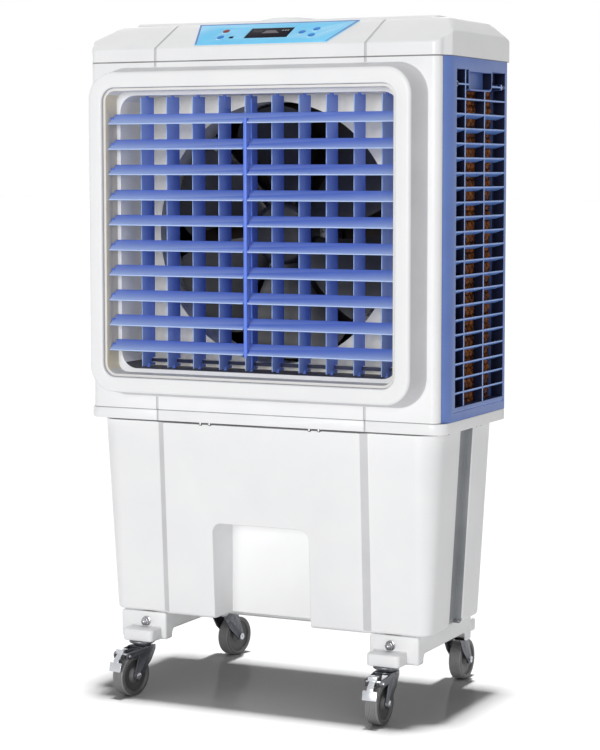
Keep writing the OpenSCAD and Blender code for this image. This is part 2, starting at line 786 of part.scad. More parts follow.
module side_grille() {
    u0 = strip_y;
    bars = [u0 + (housing_d - u0) * 0.25, u0 + (housing_d - u0) * 0.6];
    multmatrix([[0, -1, 0, half_w], [1, 0, 0, 0], [0, 0, 1, 0]]) grille_panel(u0, housing_d, bars);
    along_z(seam_low, seam_top) polygon([
        [panel_half, edge_r], [half_w, strip_y], [grille_in, strip_y + eps], [panel_half - wall, edge_r]
    ]);
}

module right_grille() color(blue) in_place() side_grille();
module left_grille() color(blue) in_place() mirror([1, 0, 0]) side_grille();

module rear_grille() color(blue) in_place() translate([0, housing_d, 0]) mirror([0, 1, 0]) {
    bar_n = 6;
    bars = [for (k = [1 : bar_n]) -grille_in + 2 * grille_in * k / (bar_n + 1)];
    grille_panel(-grille_in, grille_in, bars);
}

// Wet pads behind the three grilles
module cooling_pads() color([0.5, 0.27, 0.1]) in_place() {
    both_sides() box([pad_in, pad_out], [pad_front, pad_back], [deck_z, pad_top]);
    box([-pad_in + pad_gap, pad_in - pad_gap], [pad_back - pad_t, pad_back], [deck_z, pad_top]);
}

// Trough over the pads and the riser that feeds it
module water_pipes() color([0.85, 0.86, 0.88]) in_place() {
    low = pad_top;
    drip_n = 7;
    difference() {
        union() {
            both_sides() box([pad_in, pad_out], [pad_front, pad_back], [low, low + trough_h]);
            box([-pad_in - eps, pad_in + eps], [pad_back - pad_t, pad_back], [low, low + trough_h]);
        }
        both_sides() box([pad_in + trough_wall, pad_out - trough_wall],
            [pad_front + trough_wall, pad_back - trough_wall], [low + trough_wall, low + trough_h + 1]);
        box([-pad_in - pad_t / 2, pad_in + pad_t / 2], [pad_back - pad_t + trough_wall, pad_back - trough_wall],
            [low + trough_wall, low + trough_h + 1]);
        for (k = [1 : drip_n]) {
            drip_y = pad_front + (pad_back - pad_front) * k / (drip_n + 1);
            drip_x = -pad_in + 2 * pad_in * k / (drip_n + 1);
            for (side = [-1, 1]) translate([side * (pad_in + pad_t / 2), drip_y, low - 1]) cylinder(h = 5, r = 2);
            translate([drip_x, pad_back - pad_t / 2, low - 1]) cylinder(h = 5, r = 2);
        }
        translate([pad_in - 1, riser_y, riser_z]) rotate([0, 90, 0])
            cylinder(h = trough_wall + 2, r = riser_r - 2.5);
    }
    translate([riser_x, riser_y, 0]) difference() {
        union() {
            along_z(tank_z + tank_floor + pump_h, riser_z) circle(riser_r);
            translate([0, 0, riser_z]) sphere(riser_r);
            translate([0, 0, riser_z]) rotate([0, 90, 0]) cylinder(h = pad_in - riser_x, r = riser_r);
        }
        along_z(tank_z + tank_floor + pump_h - 1, riser_z) circle(riser_r - 2.5);
        translate([0, 0, riser_z]) sphere(riser_r - 2.5);
        translate([0, 0, riser_z]) rotate([0, 90, 0]) cylinder(h = pad_in - riser_x + 1, r = riser_r - 2.5);
    }
}

// Pump standing on the tank's floor under the riser
module water_pump() color([0.2, 0.22, 0.25]) in_place() translate([riser_x, riser_y, tank_z + tank_floor]) {
    body = 26;
    difference() {
        union() {
            along_z(0, pump_h - 14) round_rect(2 * body, 2 * body, 8);
            cylinder(h = pump_h, r = riser_r + 3);
        }
        translate([0, 0, pump_h - 8]) cylinder(h = 9, r = riser_r - 2.5);
        for (k = [-2 : 2]) box([k * 8 - 1.5, k * 8 + 1.5], [-body - 1, 4 - body], [6, pump_h - 24]);
    }
}

// Top cover: side, front and plan profiles crossed, then hollowed from below

module cover_form(t) {
    low = seam_top - (t > 0 ? 1 : 0);
    rear_drop = 31;
    rear_run = 36;
    side_z = top_z - 26;
    side_in = 26;
    intersection() {
        along_z(low, top_z + 1) body_outline(t);
        along_x(-half_w, half_w) polygon([
            [t, low], [t, slope_z - t * 0.7], [slope_d + t * 0.2, top_z - t], [housing_d - rear_run, top_z - t],
            [housing_d - t, top_z - rear_drop], [housing_d - t, low]
        ]);
        along_y(0, housing_d) polygon([
            [-half_w + t, low], [half_w - t, low], [half_w - t, side_z], [half_w - side_in - t, top_z - t],
            [-half_w + side_in + t, top_z - t], [-half_w + t, side_z]
        ]);
    }
}

// Frame of the sloping control face: x across, y up the slope, z out of it
module on_slope() translate([0, 0, slope_z]) rotate([slope_angle, 0, 0]) children();

// Outline of the control panel, moved inwards by t
panel_low = 8;
panel_high = 92;
panel_low_half = 127;
panel_high_half = 155;
panel_in = 1.5;

module panel_outline(t) polygon([
    [-panel_low_half + t, panel_low + t], [panel_low_half - t, panel_low + t],
    [panel_high_half - 2 * t, panel_high - t], [-panel_high_half + 2 * t, panel_high - t]
]);

module top_cover() color(white) in_place() {
    back = housing_d - 44;
    groove_end = slope_d - 5;
    difference() {
        union() {
            cover_form(0);
            along_z(top_z - 1, plateau_z) translate([0, (slope_d + 6 + back) / 2])
                round_rect(housing_w - 104, back - slope_d - 6, 12);
        }
        cover_form(wall);
        translate([lid_x, lid_y, top_z - 20]) cylinder(h = 40, r = filler_r);
        translate([lid_x, lid_y, plateau_z - lid_seat]) cylinder(h = 10, r = lid_d / 2 + slip);
        both_sides() along_x(groove_x - groove_half, groove_x + groove_half) polygon([
            [-5, seam_top - 1], [groove_half, seam_top - 1], [groove_half, slope_z - groove_half * 0.6],
            [groove_end, slope_z + groove_end * slope_h / slope_d - groove_half], [groove_end, top_z + 9],
            [-5, top_z + 9]
        ]);
        on_slope() along_z(-panel_in, 10) panel_outline(-slip);
        on_slope() along_z(-20, 10) panel_outline(9);
    }
}

module control_panel() color([0.45, 0.85, 1]) in_place() on_slope() difference() {
    along_z(-panel_in, face_t - panel_in) panel_outline(0);
    for (b = button_spots) translate([b[1], b[2], -5]) cylinder(h = 12, r = button_d / 2 + pin_gap);
    box([-41, 41], [30, 69], [face_t - panel_in - 1, 5]);
    box([-71, -63], [31, 38], [face_t - panel_in - 1, 5]);
}

// Display glass and the small receiver window beside it
module display_window() color([0.2, 0.19, 0.22]) in_place() on_slope() {
    box([-41 + slip / 2, 41 - slip / 2], [30 + slip / 2, 69 - slip / 2],
        [face_t - panel_in - 1, face_t - panel_in + 0.4]);
    box([-71 + slip / 2, -63 - slip / 2], [31 + slip / 2, 38 - slip / 2],
        [face_t - panel_in - 1, face_t - panel_in + 0.4]);
}

// Circuit board under the buttons, on pillars that reach the panel
module control_board() color([0.1, 0.35, 0.2]) in_place() on_slope() {
    depth = 14;
    box([-105, 105], [24, 76], [-panel_in - depth, -panel_in - depth + 1.6]);
    for (x = [-48, 48], y = [28, 72]) translate([x, y, -panel_in - depth + 1]) cylinder(h = depth - 1, r = 3);
    for (b = button_spots) translate([b[1], b[2], -panel_in - depth + 1])
        cylinder(h = depth - 1 - 3 - button_travel - 0.3, r = 2.5);
}

// Push button with a collar under the panel
module push_button(i) color(i == 0 ? [0.6, 0.15, 0.08] : [0.12, 0.5, 0.82]) in_place() on_slope()
    translate([button_spots[i][1], button_spots[i][2], 0]) {
        translate([0, 0, -panel_in - 3]) cylinder(h = face_t + 3 + 2, r = button_d / 2);
        translate([0, 0, -panel_in - 3]) cylinder(h = 2.6, r = button_d / 2 + 2);
    }

// Filler lid: a shallow dome in its seat on the plateau, with a plug ring inside the filler hole
module filler_lid() color(white) in_place() translate([lid_x, lid_y, plateau_z - lid_seat]) {
    r = lid_d / 2;
    dome_r = (r * r + lid_h * lid_h) / (2 * lid_h);
    shell = 2.5;
    rim = 3;
    plug_l = 8;
    plug_r = filler_r - slip;
    difference() {
        intersection() {
            translate([0, 0, lid_h - dome_r]) sphere(dome_r, $fn = 160);
            cylinder(h = lid_h + 1, r = r - 1);
        }
        intersection() {
            translate([0, 0, lid_h - dome_r]) sphere(dome_r - shell, $fn = 160);
            translate([0, 0, -1]) cylinder(h = lid_h + 1, r = r - 1 - rim);
        }
    }
    difference() {
        translate([0, 0, -plug_l]) cylinder(h = plug_l + lid_h / 3 + 0.6, r = plug_r);
        translate([0, 0, -plug_l - 1]) cylinder(h = plug_l + lid_h, r = plug_r - shell);
    }
}

// Casters: each is drawn on its swivel axis, floor at z 0, wheel trailing towards -y

caster_names = ["front_left", "front_right", "rear_left", "rear_right"];
plate_h = 4;
race_h = 4;
crown_z = caster_h - plate_h - race_h - 5;
crown_t = 4;
king_r = 5;
axle_r = 4;
leg_x = wheel_w / 2 + 1.8;
leg_t = 3;
pedal_y = -trail - 22;
pedal_z = wheel_d + 1;
pedal_pin_r = 2.5;

// Moves a caster to its corner; rear ones trail backwards, left ones stand turned
module at_caster(i) {
    left = i % 2 == 0;
    rear = i > 1;
    in_place() translate([left ? -block_x : block_x, rear ? rear_pivot : front_pivot, 0])
        rotate([0, 0, (rear ? 180 : 0) + (left ? left_turn : 0)]) children();
}

module caster_plates() color(steel) for (i = [0 : 3]) at_caster(i) {
    translate([0, 0, caster_h - plate_h]) cylinder(h = plate_h, r = 23);
    translate([0, 0, caster_h - plate_h - race_h]) cylinder(h = race_h, r = 17);
    translate([0, 0, crown_z - 2.5]) cylinder(h = caster_h - plate_h - crown_z, r = king_r);
    translate([0, 0, crown_z - 3]) cylinder(h = 2.6, r = 8);
}

// Side outline of a fork leg, from crown to axle, with the pedal's ear on braked casters
module leg_profile(braked) {
    axle_z = wheel_d / 2;
    difference() {
        union() {
            polygon([
                [18, crown_z + crown_t], [-20, crown_z + crown_t], [-trail - 8, axle_z + 4],
                [-trail, axle_z - 9], [-trail + 9, axle_z - 2], [6, axle_z + 22], [18, crown_z - 4]
            ]);
            translate([-trail, axle_z]) circle(9);
            if (braked) polygon([
                [-10, crown_z + crown_t], [-10, crown_z - 12], [pedal_y, pedal_z - 6], [pedal_y, pedal_z + 6]
            ]);
            if (braked) translate([pedal_y, pedal_z]) circle(6);
        }
        if (braked) translate([pedal_y, pedal_z]) circle(pedal_pin_r + pin_gap);
    }
}

module caster_fork(i) color([0.3, 0.31, 0.33]) at_caster(i) {
    braked = i < 2;
    both_sides() along_x(leg_x, leg_x + leg_t) leg_profile(braked);
    difference() {
        union() {
            translate([0, 0, crown_z]) cylinder(h = crown_t, r = 19);
            box([-leg_x - leg_t, leg_x + leg_t], [-18, 17], [crown_z, crown_z + crown_t]);
        }
        translate([0, 0, crown_z - 1]) cylinder(h = crown_t + 2, r = king_r + pin_gap);
    }
    translate([-leg_x - leg_t - 3, -trail, wheel_d / 2]) rotate([0, 90, 0])
        cylinder(h = 2 * (leg_x + leg_t + 3), r = axle_r);
}

// Wheel: tread with a shallow groove, dished sides and a hub, turned about its axle
module caster_wheel(i) color([0.35, 0.35, 0.36]) at_caster(i) translate([0, -trail, wheel_d / 2]) rotate([0, 90, 0]) {
    r = wheel_d / 2;
    half = wheel_w / 2;
    hub_half = leg_x - 0.4;
    rotate_extrude() polygon([
        [axle_r + pin_gap, -hub_half], [10, -hub_half], [12, -half + 3], [r - 11, -half + 3], [r - 8, -half],
        [r - 3, -half], [r, -half + 4], [r, -2], [r - 1, -1], [r - 1, 1], [r, 2], [r, half - 4], [r - 3, half],
        [r - 8, half], [r - 11, half - 3], [12, half - 3], [10, hub_half], [axle_r + pin_gap, hub_half]
    ]);
}

// Brake pedal: a bent rocker with an upper and a lower tread, on a pin between the fork's ears
module brake_pedal(i) color([0.85, 0.86, 0.88]) at_caster(i) {
    half = leg_x - 0.6;
    tab_t = 2.4;
    along_x(-half, half) polygon([
        [pedal_y + 5, pedal_z + 10], [pedal_y + 5, pedal_z + 10 + tab_t],
        [pedal_y - 8, pedal_z + 10 + tab_t], [pedal_y - 8, pedal_z + 4],
        [-pedal_reach + 4, pedal_z - 6], [-pedal_reach, pedal_z - 26], [-pedal_reach + tab_t, pedal_z - 26],
        [-pedal_reach + 4 + tab_t, pedal_z - 7], [pedal_y - 4, pedal_z - 2], [pedal_y - 4, pedal_z + 10]
    ]);
    along_x(-half, half) {
        translate([pedal_y, pedal_z]) circle(4.6);
        translate([pedal_y - 6, pedal_z - 3]) square([5, 6]);
    }
    translate([-leg_x - leg_t - 1.5, pedal_y, pedal_z]) rotate([0, 90, 0])
        cylinder(h = 2 * (leg_x + leg_t + 1.5), r = pedal_pin_r);
}

water_tank();
base_frame();
base_bolts();
mid_frame();
front_panel();
louvre_frame();
fan_shroud();
right_grille();
left_grille();
rear_grille();
cooling_pads();
top_cover();
control_panel();
display_window();
control_board();
fan_motor();
motor_bracket();
water_pump();
water_pipes();
swing_motor();
caster_plates();
fan();
filler_lid();
slat_link();
vane_link();
for (i = [0 : louvre_n - 1]) {
    number = str(i < 9 ? "0" : "", i + 1);
    slat(i);
    vane(i);
}
for (i = [0 : len(button_spots) - 1]) push_button(i);
for (i = [0 : 3]) {
    caster_fork(i);
    caster_wheel(i);
    if (i < 2) brake_pedal(i);
}
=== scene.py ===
# %% [markdown]
# A mobile evaporative cooler
#
# The frame brings every piece at its real size and place. This lesson gives the pieces their
# looks: soft moulded edges, grained plastic, fluted paper pads, a black fan and rubber tyres.
# Each piece stays separate, so that it can move with its body.

# %% Load the frame
import json
import math
from contextlib import contextmanager

import bmesh
import bpy
import numpy as np
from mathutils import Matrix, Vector


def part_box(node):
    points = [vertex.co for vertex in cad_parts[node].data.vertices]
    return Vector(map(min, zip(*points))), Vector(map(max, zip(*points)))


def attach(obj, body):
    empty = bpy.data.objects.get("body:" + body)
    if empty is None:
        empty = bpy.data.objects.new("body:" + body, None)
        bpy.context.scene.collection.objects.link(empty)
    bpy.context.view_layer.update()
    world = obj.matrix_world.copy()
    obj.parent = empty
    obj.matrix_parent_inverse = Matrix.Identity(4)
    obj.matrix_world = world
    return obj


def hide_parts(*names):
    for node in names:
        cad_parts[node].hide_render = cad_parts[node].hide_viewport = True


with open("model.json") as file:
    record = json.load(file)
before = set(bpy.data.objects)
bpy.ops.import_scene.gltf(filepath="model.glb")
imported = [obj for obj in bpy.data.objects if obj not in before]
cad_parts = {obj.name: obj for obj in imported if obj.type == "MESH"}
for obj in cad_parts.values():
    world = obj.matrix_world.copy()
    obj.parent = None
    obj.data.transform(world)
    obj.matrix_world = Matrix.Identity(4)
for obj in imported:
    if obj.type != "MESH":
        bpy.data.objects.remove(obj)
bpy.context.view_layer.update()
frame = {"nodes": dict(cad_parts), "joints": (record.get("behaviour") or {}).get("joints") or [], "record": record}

nodes = frame["nodes"]
record = frame["record"]
body_of = {node: body for body, members in record["behaviour"]["bodies"].items() for node in members}
slot_of = {part["node"]: part["material_slot"] for part in record["subparts"]}
joints = {joint["name"]: joint for joint in frame["joints"]}
CORNERS = ("front_left", "front_right", "rear_left", "rear_right")

# %% [markdown]
# Levels that the pieces share
#
# The hand-made shells follow the frame, so their levels are measured on its nodes. They could be
# typed in, but then a frame of another size would leave the shells behind. Sizes are in
# millimetres here, and depths count from the front panel's face, which makes them easy to check
# with a ruler.

# %% Measure the frame in millimetres
MM = 0.001
front_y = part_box("mid_frame")[0].y


def to_mm(points):
    """Points in metres as millimetres, with depths from the front panel's face."""
    return (np.asarray(points, float) - (0, front_y, 0)) / MM


def points_of(node):
    """A node's corners in millimetres."""
    mesh = nodes[node].data
    flat = np.empty(len(mesh.vertices) * 3, np.float32)
    mesh.vertices.foreach_get("co", flat)
    return to_mm(flat.reshape(-1, 3))


def span(node, axis):
    """Lowest and highest value of a node along one axis."""
    values = points_of(node)[:, axis]
    return values.min(), values.max()


half_w = span("mid_frame", 0)[1]
housing_d = span("mid_frame", 1)[1]
seam_low, seam_top = span("front_panel", 2)
tank_low = span("base_frame", 2)[1]
tank_high = span("water_tank", 2)[1]
panel_half = span("front_panel", 0)[1]
bezel_front = span("front_panel", 1)[0]
EDGE_R, STRIP_Y, GROOVE_X = 14, 32, 201
print("seams at", round(seam_low), "and", round(seam_top), "mm")
print("tank from", round(tank_low), "to", round(tank_high), "mm")

# %% [markdown]
# Camera
#
# The photograph was taken with a long lens, from the right of the front and a little below the
# top. A camera set by eye would be uncertain, so the place and the angle come from the edges of
# the housing, fitted to the frame.

# %% Camera
LOOKS_DOWN, LOOKS_LEFT = 5.306, 25.738
scene = bpy.context.scene
scene.view_settings.view_transform = "Standard"
camera = bpy.data.objects.new("camera", bpy.data.cameras.new("camera"))
scene.collection.objects.link(camera)
camera.location = (1.71035, -3.54688, 0.93697)
camera.rotation_euler = (math.radians(90 - LOOKS_DOWN), 0, math.radians(LOOKS_LEFT))
camera.data.sensor_width = 36
camera.data.lens = 105.48
camera.data.clip_end = 200
scene.camera = camera
print("camera", round((camera.location - Vector((0, 0, 0.6))).length, 2), "m away")

# %% [markdown]
# Building with nodes
#
# Materials and Geometry Nodes are both node trees. They could be wired by hand in the editor, but
# a script can be read and run again. One small class serves both: it adds a node, sets its
# options, fills its inputs with plain values or with other nodes' sockets, and hands back the
# output that the next step needs.


# %% Node helpers
class Nodes:
    """Adds nodes to one tree."""

    def __init__(self, tree):
        self.tree = tree

    def put(self, value, socket):
        """Links a socket to an input, or sets the input to a plain value."""
        if isinstance(value, bpy.types.NodeSocket):
            self.tree.links.new(value, socket)
        else:
            socket.default_value = value

    def add(self, kind, fill=None, **options):
        """A new node's outputs."""
        made = self.tree.nodes.new(kind)
        for name, value in options.items():
            setattr(made, name, value)
        for key, value in (fill or {}).items():
            for one in value if isinstance(value, list) else [value]:
                self.put(one, made.inputs[key])
        return made.outputs

    def math(self, operation, *values):
        """One arithmetic step."""
        return self.add("ShaderNodeMath", dict(enumerate(values)), operation=operation)[0]

    def plus(self, a, b):
        return self.math("ADD", a, b)

    def minus(self, a, b):
        return self.math("SUBTRACT", a, b)

    def times(self, a, b):
        return self.math("MULTIPLY", a, b)

    def over(self, a, b):
        return self.math("DIVIDE", a, b)

    def ramp(self, value, low, high, out_low=0.0, out_high=1.0):
        """A range of values mapped on another, held at its ends."""
        fill = {"Value": value, "From Min": low, "From Max": high, "To Min": out_low, "To Max": out_high}
        return self.add("ShaderNodeMapRange", fill)[0]

    def vector(self, x=0.0, y=0.0, z=0.0):
        """Three numbers or sockets as one vector."""
        return self.add("ShaderNodeCombineXYZ", {0: x, 1: y, 2: z})[0]

    def parts(self, vector):
        """The X, Y and Z of a vector."""
        return self.add("ShaderNodeSeparateXYZ", {0: vector})

    def blend(self, share, first, second):
        """A mix of two colours."""
        return self.add("ShaderNodeMix", {0: share, 6: first, 7: second}, data_type="RGBA")[2]

    def noise(self, scale, detail, place=None):
        """Noise over the object's own coordinates, or over a place made from them."""
        if place is None:
            place = self.add("ShaderNodeTexCoord")["Object"]
        return self.add("ShaderNodeTexNoise", {"Vector": place, "Scale": scale, "Detail": detail})[0]

    def relief(self, strength, height):
        """A normal that follows a fine height."""
        return self.add("ShaderNodeBump", {"Strength": strength, "Distance": 0.001, "Height": height})[0]

    def group(self, tree, **fill):
        """A shared group's outputs."""
        return self.add("ShaderNodeGroup", fill, node_tree=tree)

    def geo(self, kind, fill=None, **options):
        """One step of Geometry Nodes."""
        return self.add("GeometryNode" + kind, fill, **options)[0]

    def cylinder(self, sides, radius, depth):
        return self.geo("MeshCylinder", {"Vertices": sides, "Radius": radius, "Depth": depth})

    def moved(self, shape, move=(0, 0, 0), turn=(0, 0, 0)):
        """A shape turned about the origin and then moved."""
        return self.geo("Transform", {"Geometry": shape, "Translation": move, "Rotation": turn})

    def hand_out(self, shape, material, socket):
        """The end of a tree: real geometry with its finish."""
        shape = self.geo("RealizeInstances", {"Geometry": shape})
        self.put(self.geo("SetMaterial", {"Geometry": shape, "Material": material}), socket)


print("node helpers ready")

# %% [markdown]
# Studio
#
# The cooler stands in a bright studio with white all round. A picture of a studio could give that
# light, but a plain sky needs no file and casts no pattern. It is white for the camera and in
# reflections, and weaker as a lamp, so that white plastic keeps its shape.

# %% Sky
SKY_LIGHT = 0.15


def emptied(holder):
    """A builder for the cleared tree of a world or a material."""
    holder.use_nodes = True
    holder.node_tree.nodes.clear()
    return Nodes(holder.node_tree)


def seen_directly(g):
    """1 for rays from the camera and in reflections and glass, else 0."""
    path = g.add("ShaderNodeLightPath")
    mirrored = g.math("MAXIMUM", path["Is Glossy Ray"], path["Is Transmission Ray"])
    return g.math("MAXIMUM", path["Is Camera Ray"], mirrored)


scene.world = bpy.data.worlds.new("studio")
g = emptied(scene.world)
strength = g.ramp(seen_directly(g), 0.0, 1.0, SKY_LIGHT, 1.0)
shade = g.add("ShaderNodeBackground", {"Color": (1, 1, 1, 1), "Strength": strength})[0]
g.add("ShaderNodeOutputWorld", {"Surface": shade})
print("sky at", SKY_LIGHT, "as a lamp")

# %% [markdown]
# The floor is a wide pale sheet with a faint polish. Like the sky it is paler to the camera than
# to the light that bounces off it, so a white floor puts no more light on the object.

# %% Floor
BOUNCE, SEEN, POLISH = 0.427, 0.7, 0.04
REACH = 60
floor_paint = bpy.data.materials.new("studio_floor")
g = emptied(floor_paint)
pale = g.ramp(seen_directly(g), 0.0, 1.0, BOUNCE, SEEN)
matt = g.add("ShaderNodeBsdfDiffuse", {"Color": pale})[0]
sheen = g.add("ShaderNodeBsdfGlossy", {"Color": (1, 1, 1, 1), "Roughness": 0.1})[0]
polished = g.add("ShaderNodeMixShader", {0: POLISH, 1: matt, 2: sheen})[0]
g.add("ShaderNodeOutputMaterial", {"Surface": polished})
floor_mesh = bpy.data.meshes.new("floor")
corners = [(-REACH, -REACH, 0), (REACH, -REACH, 0), (REACH, REACH, 0), (-REACH, REACH, 0)]
floor_mesh.from_pydata(corners, [], [(0, 1, 2, 3)])
floor_mesh.materials.append(floor_paint)
floor = bpy.data.objects.new("floor", floor_mesh)
scene.collection.objects.link(floor)
print("floor of", 2 * REACH, "m")

# %% [markdown]
# Area lamps would fall off over the tall housing, so the light comes from suns with a wide angle.
# Four of them light the object at a level where a colour looks as it is written. The key comes
# low and straight from the front, so walls that face right fall into a soft grey. Light linking
# keeps these four off the floor. A fifth sun washes the floor alone from above: it keeps the
# floor pale and the shadow on it deep.

# %% Suns
reach_of = {}
for state, label in (("INCLUDE", "floor_only"), ("EXCLUDE", "all_but_floor")):
    reach_of[state] = bpy.data.collections.new(label)
    reach_of[state].objects.link(floor)
    reach_of[state].collection_objects[0].light_linking.link_state = state
# Each sun: where it stands, its power, its spread in degrees, and what it does with the floor.
SUNS = {
    "key": ((0.03, -0.99, 0.07), 2.28, 30, "EXCLUDE"),
    "fill": ((0.85, -0.45, 0.25), 0.4, 50, "EXCLUDE"),
    "top": ((0.0, 0.05, 1.0), 0.9, 40, "EXCLUDE"),
    "back": ((-0.55, 0.8, 0.22), 1.1, 50, "EXCLUDE"),
    "floor_wash": ((0.0, 0.0, 1.0), 4.4, 5, "INCLUDE"),
}
for name, (direction, power, spread, state) in SUNS.items():
    lamp = bpy.data.lights.new(name, "SUN")
    lamp.energy = power
    lamp.angle = math.radians(spread)
    sun = bpy.data.objects.new(name, lamp)
    sun.rotation_euler = Vector(direction).to_track_quat("Z", "Y").to_euler()
    scene.collection.objects.link(sun)
    sun.light_linking.receiver_collection = reach_of[state]
print(len(SUNS), "suns")

# %% [markdown]
# A node group is a tree that other trees use as one node, with named inlets and outlets. The same
# nodes could be set down in every material, but a group is changed in one place for all of them.


# %% Node groups
def socket_kind(value):
    """The socket type for a value; a word names the type of a socket that has no value."""
    if isinstance(value, str):
        return value
    if isinstance(value, tuple):
        return "Color" if len(value) == 4 else "Vector"
    return "Int" if isinstance(value, int) else "Float"


def new_group(name, kind, inputs, outputs):
    """A builder for a new node group, with the group's inlets and outlets."""
    tree = bpy.data.node_groups.new(name, kind)
    for label, value in inputs.items():
        socket_type = "NodeSocket" + socket_kind(value)
        socket = tree.interface.new_socket(label, in_out="INPUT", socket_type=socket_type)
        if not isinstance(value, str):
            socket.default_value = value
    for label, sort in outputs.items():
        tree.interface.new_socket(label, in_out="OUTPUT", socket_type="NodeSocket" + sort)
    return Nodes(tree), tree.nodes.new("NodeGroupInput").outputs, tree.nodes.new("NodeGroupOutput").inputs


print("node groups ready")

# %% [markdown]
# Finishes
#
# A moulded part is never one flat colour: the melt leaves faint clouds, the steel mould leaves a
# fine grain, and the gloss wanders a little. Images could show that, but noise in the object's
# own coordinates needs no unwrapping and stays sharp. That is the first group, and nearly every
# finish uses it. Dust that settles on level faces and wear along edges are two more, shared in
# the same way.

# %% Shared surface groups
g, inlet, outlet = new_group(
    "moulded_grain", "ShaderNodeTree",
    {
        "Colour": (0.8, 0.8, 0.8, 1), "Cloud colour": (0.7, 0.7, 0.7, 1), "Cloud scale": 12.0,
        "Grain scale": 900.0, "Roughness": 0.4, "Roughness spread": 0.08,
    },
    {"Colour": "Color", "Roughness": "Float", "Height": "Float"},
)
cloud = g.noise(inlet["Cloud scale"], 4.0)
g.put(g.blend(g.ramp(cloud, 0.38, 0.68), inlet["Colour"], inlet["Cloud colour"]), outlet["Colour"])
wander = g.times(g.minus(cloud, 0.5), inlet["Roughness spread"])
g.put(g.plus(inlet["Roughness"], wander), outlet["Roughness"])
g.put(g.noise(inlet["Grain scale"], 2.0), outlet["Height"])
moulded_grain = g.tree


def mask_group(name, scale, detail, signal, reach, patches):
    """A mask where a signal of the surface and a noise are both high."""
    sockets = {"Amount": 0.2, "Scale": scale}
    g, inlet, outlet = new_group(name, "ShaderNodeTree", sockets, {"Mask": "Float"})
    patch = g.ramp(g.noise(inlet["Scale"], detail), *patches)
    both = g.times(g.ramp(signal(g, g.add("ShaderNodeNewGeometry")), *reach), patch)
    g.put(g.times(both, inlet["Amount"]), outlet["Mask"])
    return g.tree


settled_dust = mask_group(
    "settled_dust", 30.0, 6.0, lambda g, here: g.parts(here["Normal"])["Z"], (0.35, 0.95), (0.35, 0.75))
worn_edges = mask_group(
    "worn_edges", 180.0, 5.0, lambda g, here: here["Pointiness"], (0.52, 0.6), (0.35, 0.6))
print("groups:", [group.name for group in (moulded_grain, settled_dust, worn_edges)])

# %% [markdown]
# One function then makes a finish from these groups. Each could be wired on its own, but then a
# change to the grain would have to be made forty times. Numbers that are the same all over go
# straight on the shader's own sockets, and only what varies is linked.

# %% One function for all finishes
RUBBED, DUST = (0.55, 0.55, 0.56, 1), (0.5, 0.47, 0.42, 1)
finishes = {}


def srgb(*colour):
    """A colour as a screen shows it, 0 to 255, as linear light."""
    return tuple(((c / 255 + 0.055) / 1.055) ** 2.4 if c > 10 else c / 3295 for c in colour) + (1,)


def principled(name):
    """A builder for a new material, with the inputs of its shader."""
    made = finishes[name] = bpy.data.materials.new(name)
    made.use_nodes = True
    return Nodes(made.node_tree), made.node_tree.nodes["Principled BSDF"].inputs


def finish(name, colour, cloud, rough, grain=900, bump=0.05, dust=0.0, wear=0.0, edge=None, **sockets):
    """A clouded colour with grain, dust on level faces, wear and painted light on thin edges."""
    g, shader = principled(name)
    for label, value in sockets.items():
        shader[label.replace("_", " ").title().replace("Ior", "IOR")].default_value = value
    values = {"Colour": srgb(*colour), "Cloud colour": srgb(*cloud)}
    base = g.group(moulded_grain, **values, **{"Grain scale": grain, "Roughness": rough})
    tint = base["Colour"]
    if edge:
        tint = g.blend(g.add("ShaderNodeAttribute", attribute_name="edge")["Fac"], tint, srgb(*edge))
    if wear:
        tint = g.blend(g.group(worn_edges, Amount=wear)[0], tint, RUBBED)
    if dust:
        tint = g.blend(g.group(settled_dust, Amount=dust)[0], tint, DUST)
    g.put(tint, shader["Base Color"])
    g.put(base["Roughness"], shader["Roughness"])
    g.put(g.relief(bump, base["Height"]), shader["Normal"])


print("finish function ready")

# %% [markdown]
# The shell is one white plastic. Its walls, steps, grooves, seams, channels and ducts get greys
# of their own: painted shade where light comes in poorly, in place of a lamp for each, with a
# little dust on some. The back of the tank's recess and the duct's side walls get a paler painted
# light. The pieces call a finish by its name.

# %% Whites and greys
white_more = {"bump": 0.03, "dust": 0.03, "coat_weight": 0.05}
finish("white_shell", (238.61, 238.98, 239.83), (235.9, 236.4, 237.63), 0.4, **white_more)
# Painted light: a brighter white for the back of the tank's recess.
finish("recess_white", (251.61, 251.84, 252.29), (249.31, 249.66, 250.23), 0.45, bump=0.03)
finish("grey_plastic", (252, 248, 233), (245, 241, 226), 0.45, bump=0.06, dust=0.06)
finish("pale_frame", (228, 227, 225), (222, 221, 220), 0.4, dust=0.05)
# Painted shade: greys for the louvre frame's cheeks.
finish("cheek_grey", (214, 214, 211), (207, 207, 204), 0.45, dust=0.05)
finish("cheek_side", (222, 212, 187), (215, 205, 180), 0.45, dust=0.05)
# Painted light: a paler cream for the duct's side walls.
finish("duct_pale", (250, 246, 234), (244, 240, 228), 0.5)
# Painted shade: a dark grey for the duct floor.
finish("duct_dark", (96, 93, 94), (84, 81, 82), 0.6, bump=0.08, dust=0.05)
# Painted shade: greys for the bezel's walls, the grooves and slanted steps, the seams, the gap under the ring and
# the tank's channels.
finish("bezel_wall", (206, 206, 209), (199, 199, 203), 0.42, dust=0.05)
finish("step_grey", (206, 206, 208), (198, 198, 201), 0.45, dust=0.05)
finish("seam_grime", (168, 168, 170), (146, 145, 146), 0.7, bump=0.1)
finish("gap_dark", (112, 112, 114), (92, 92, 94), 0.8, bump=0.1)
finish("channel_grey", (150, 153, 157), (134, 137, 141), 0.5, bump=0.06, dust=0.1)
finish("pipe_plastic", (214, 217, 222), (206, 209, 215), 0.4)
print(len(finishes), "finishes with the whites and greys")

# %% [markdown]
# Louvres and grilles are dyed plastic whose thin edges let light through. Real scattering would
# show that slowly and with noise, so slats and vanes mix in a paler colour at the edge. The
# casters are zinc plate and dark steel, rubbed bright along their edges.

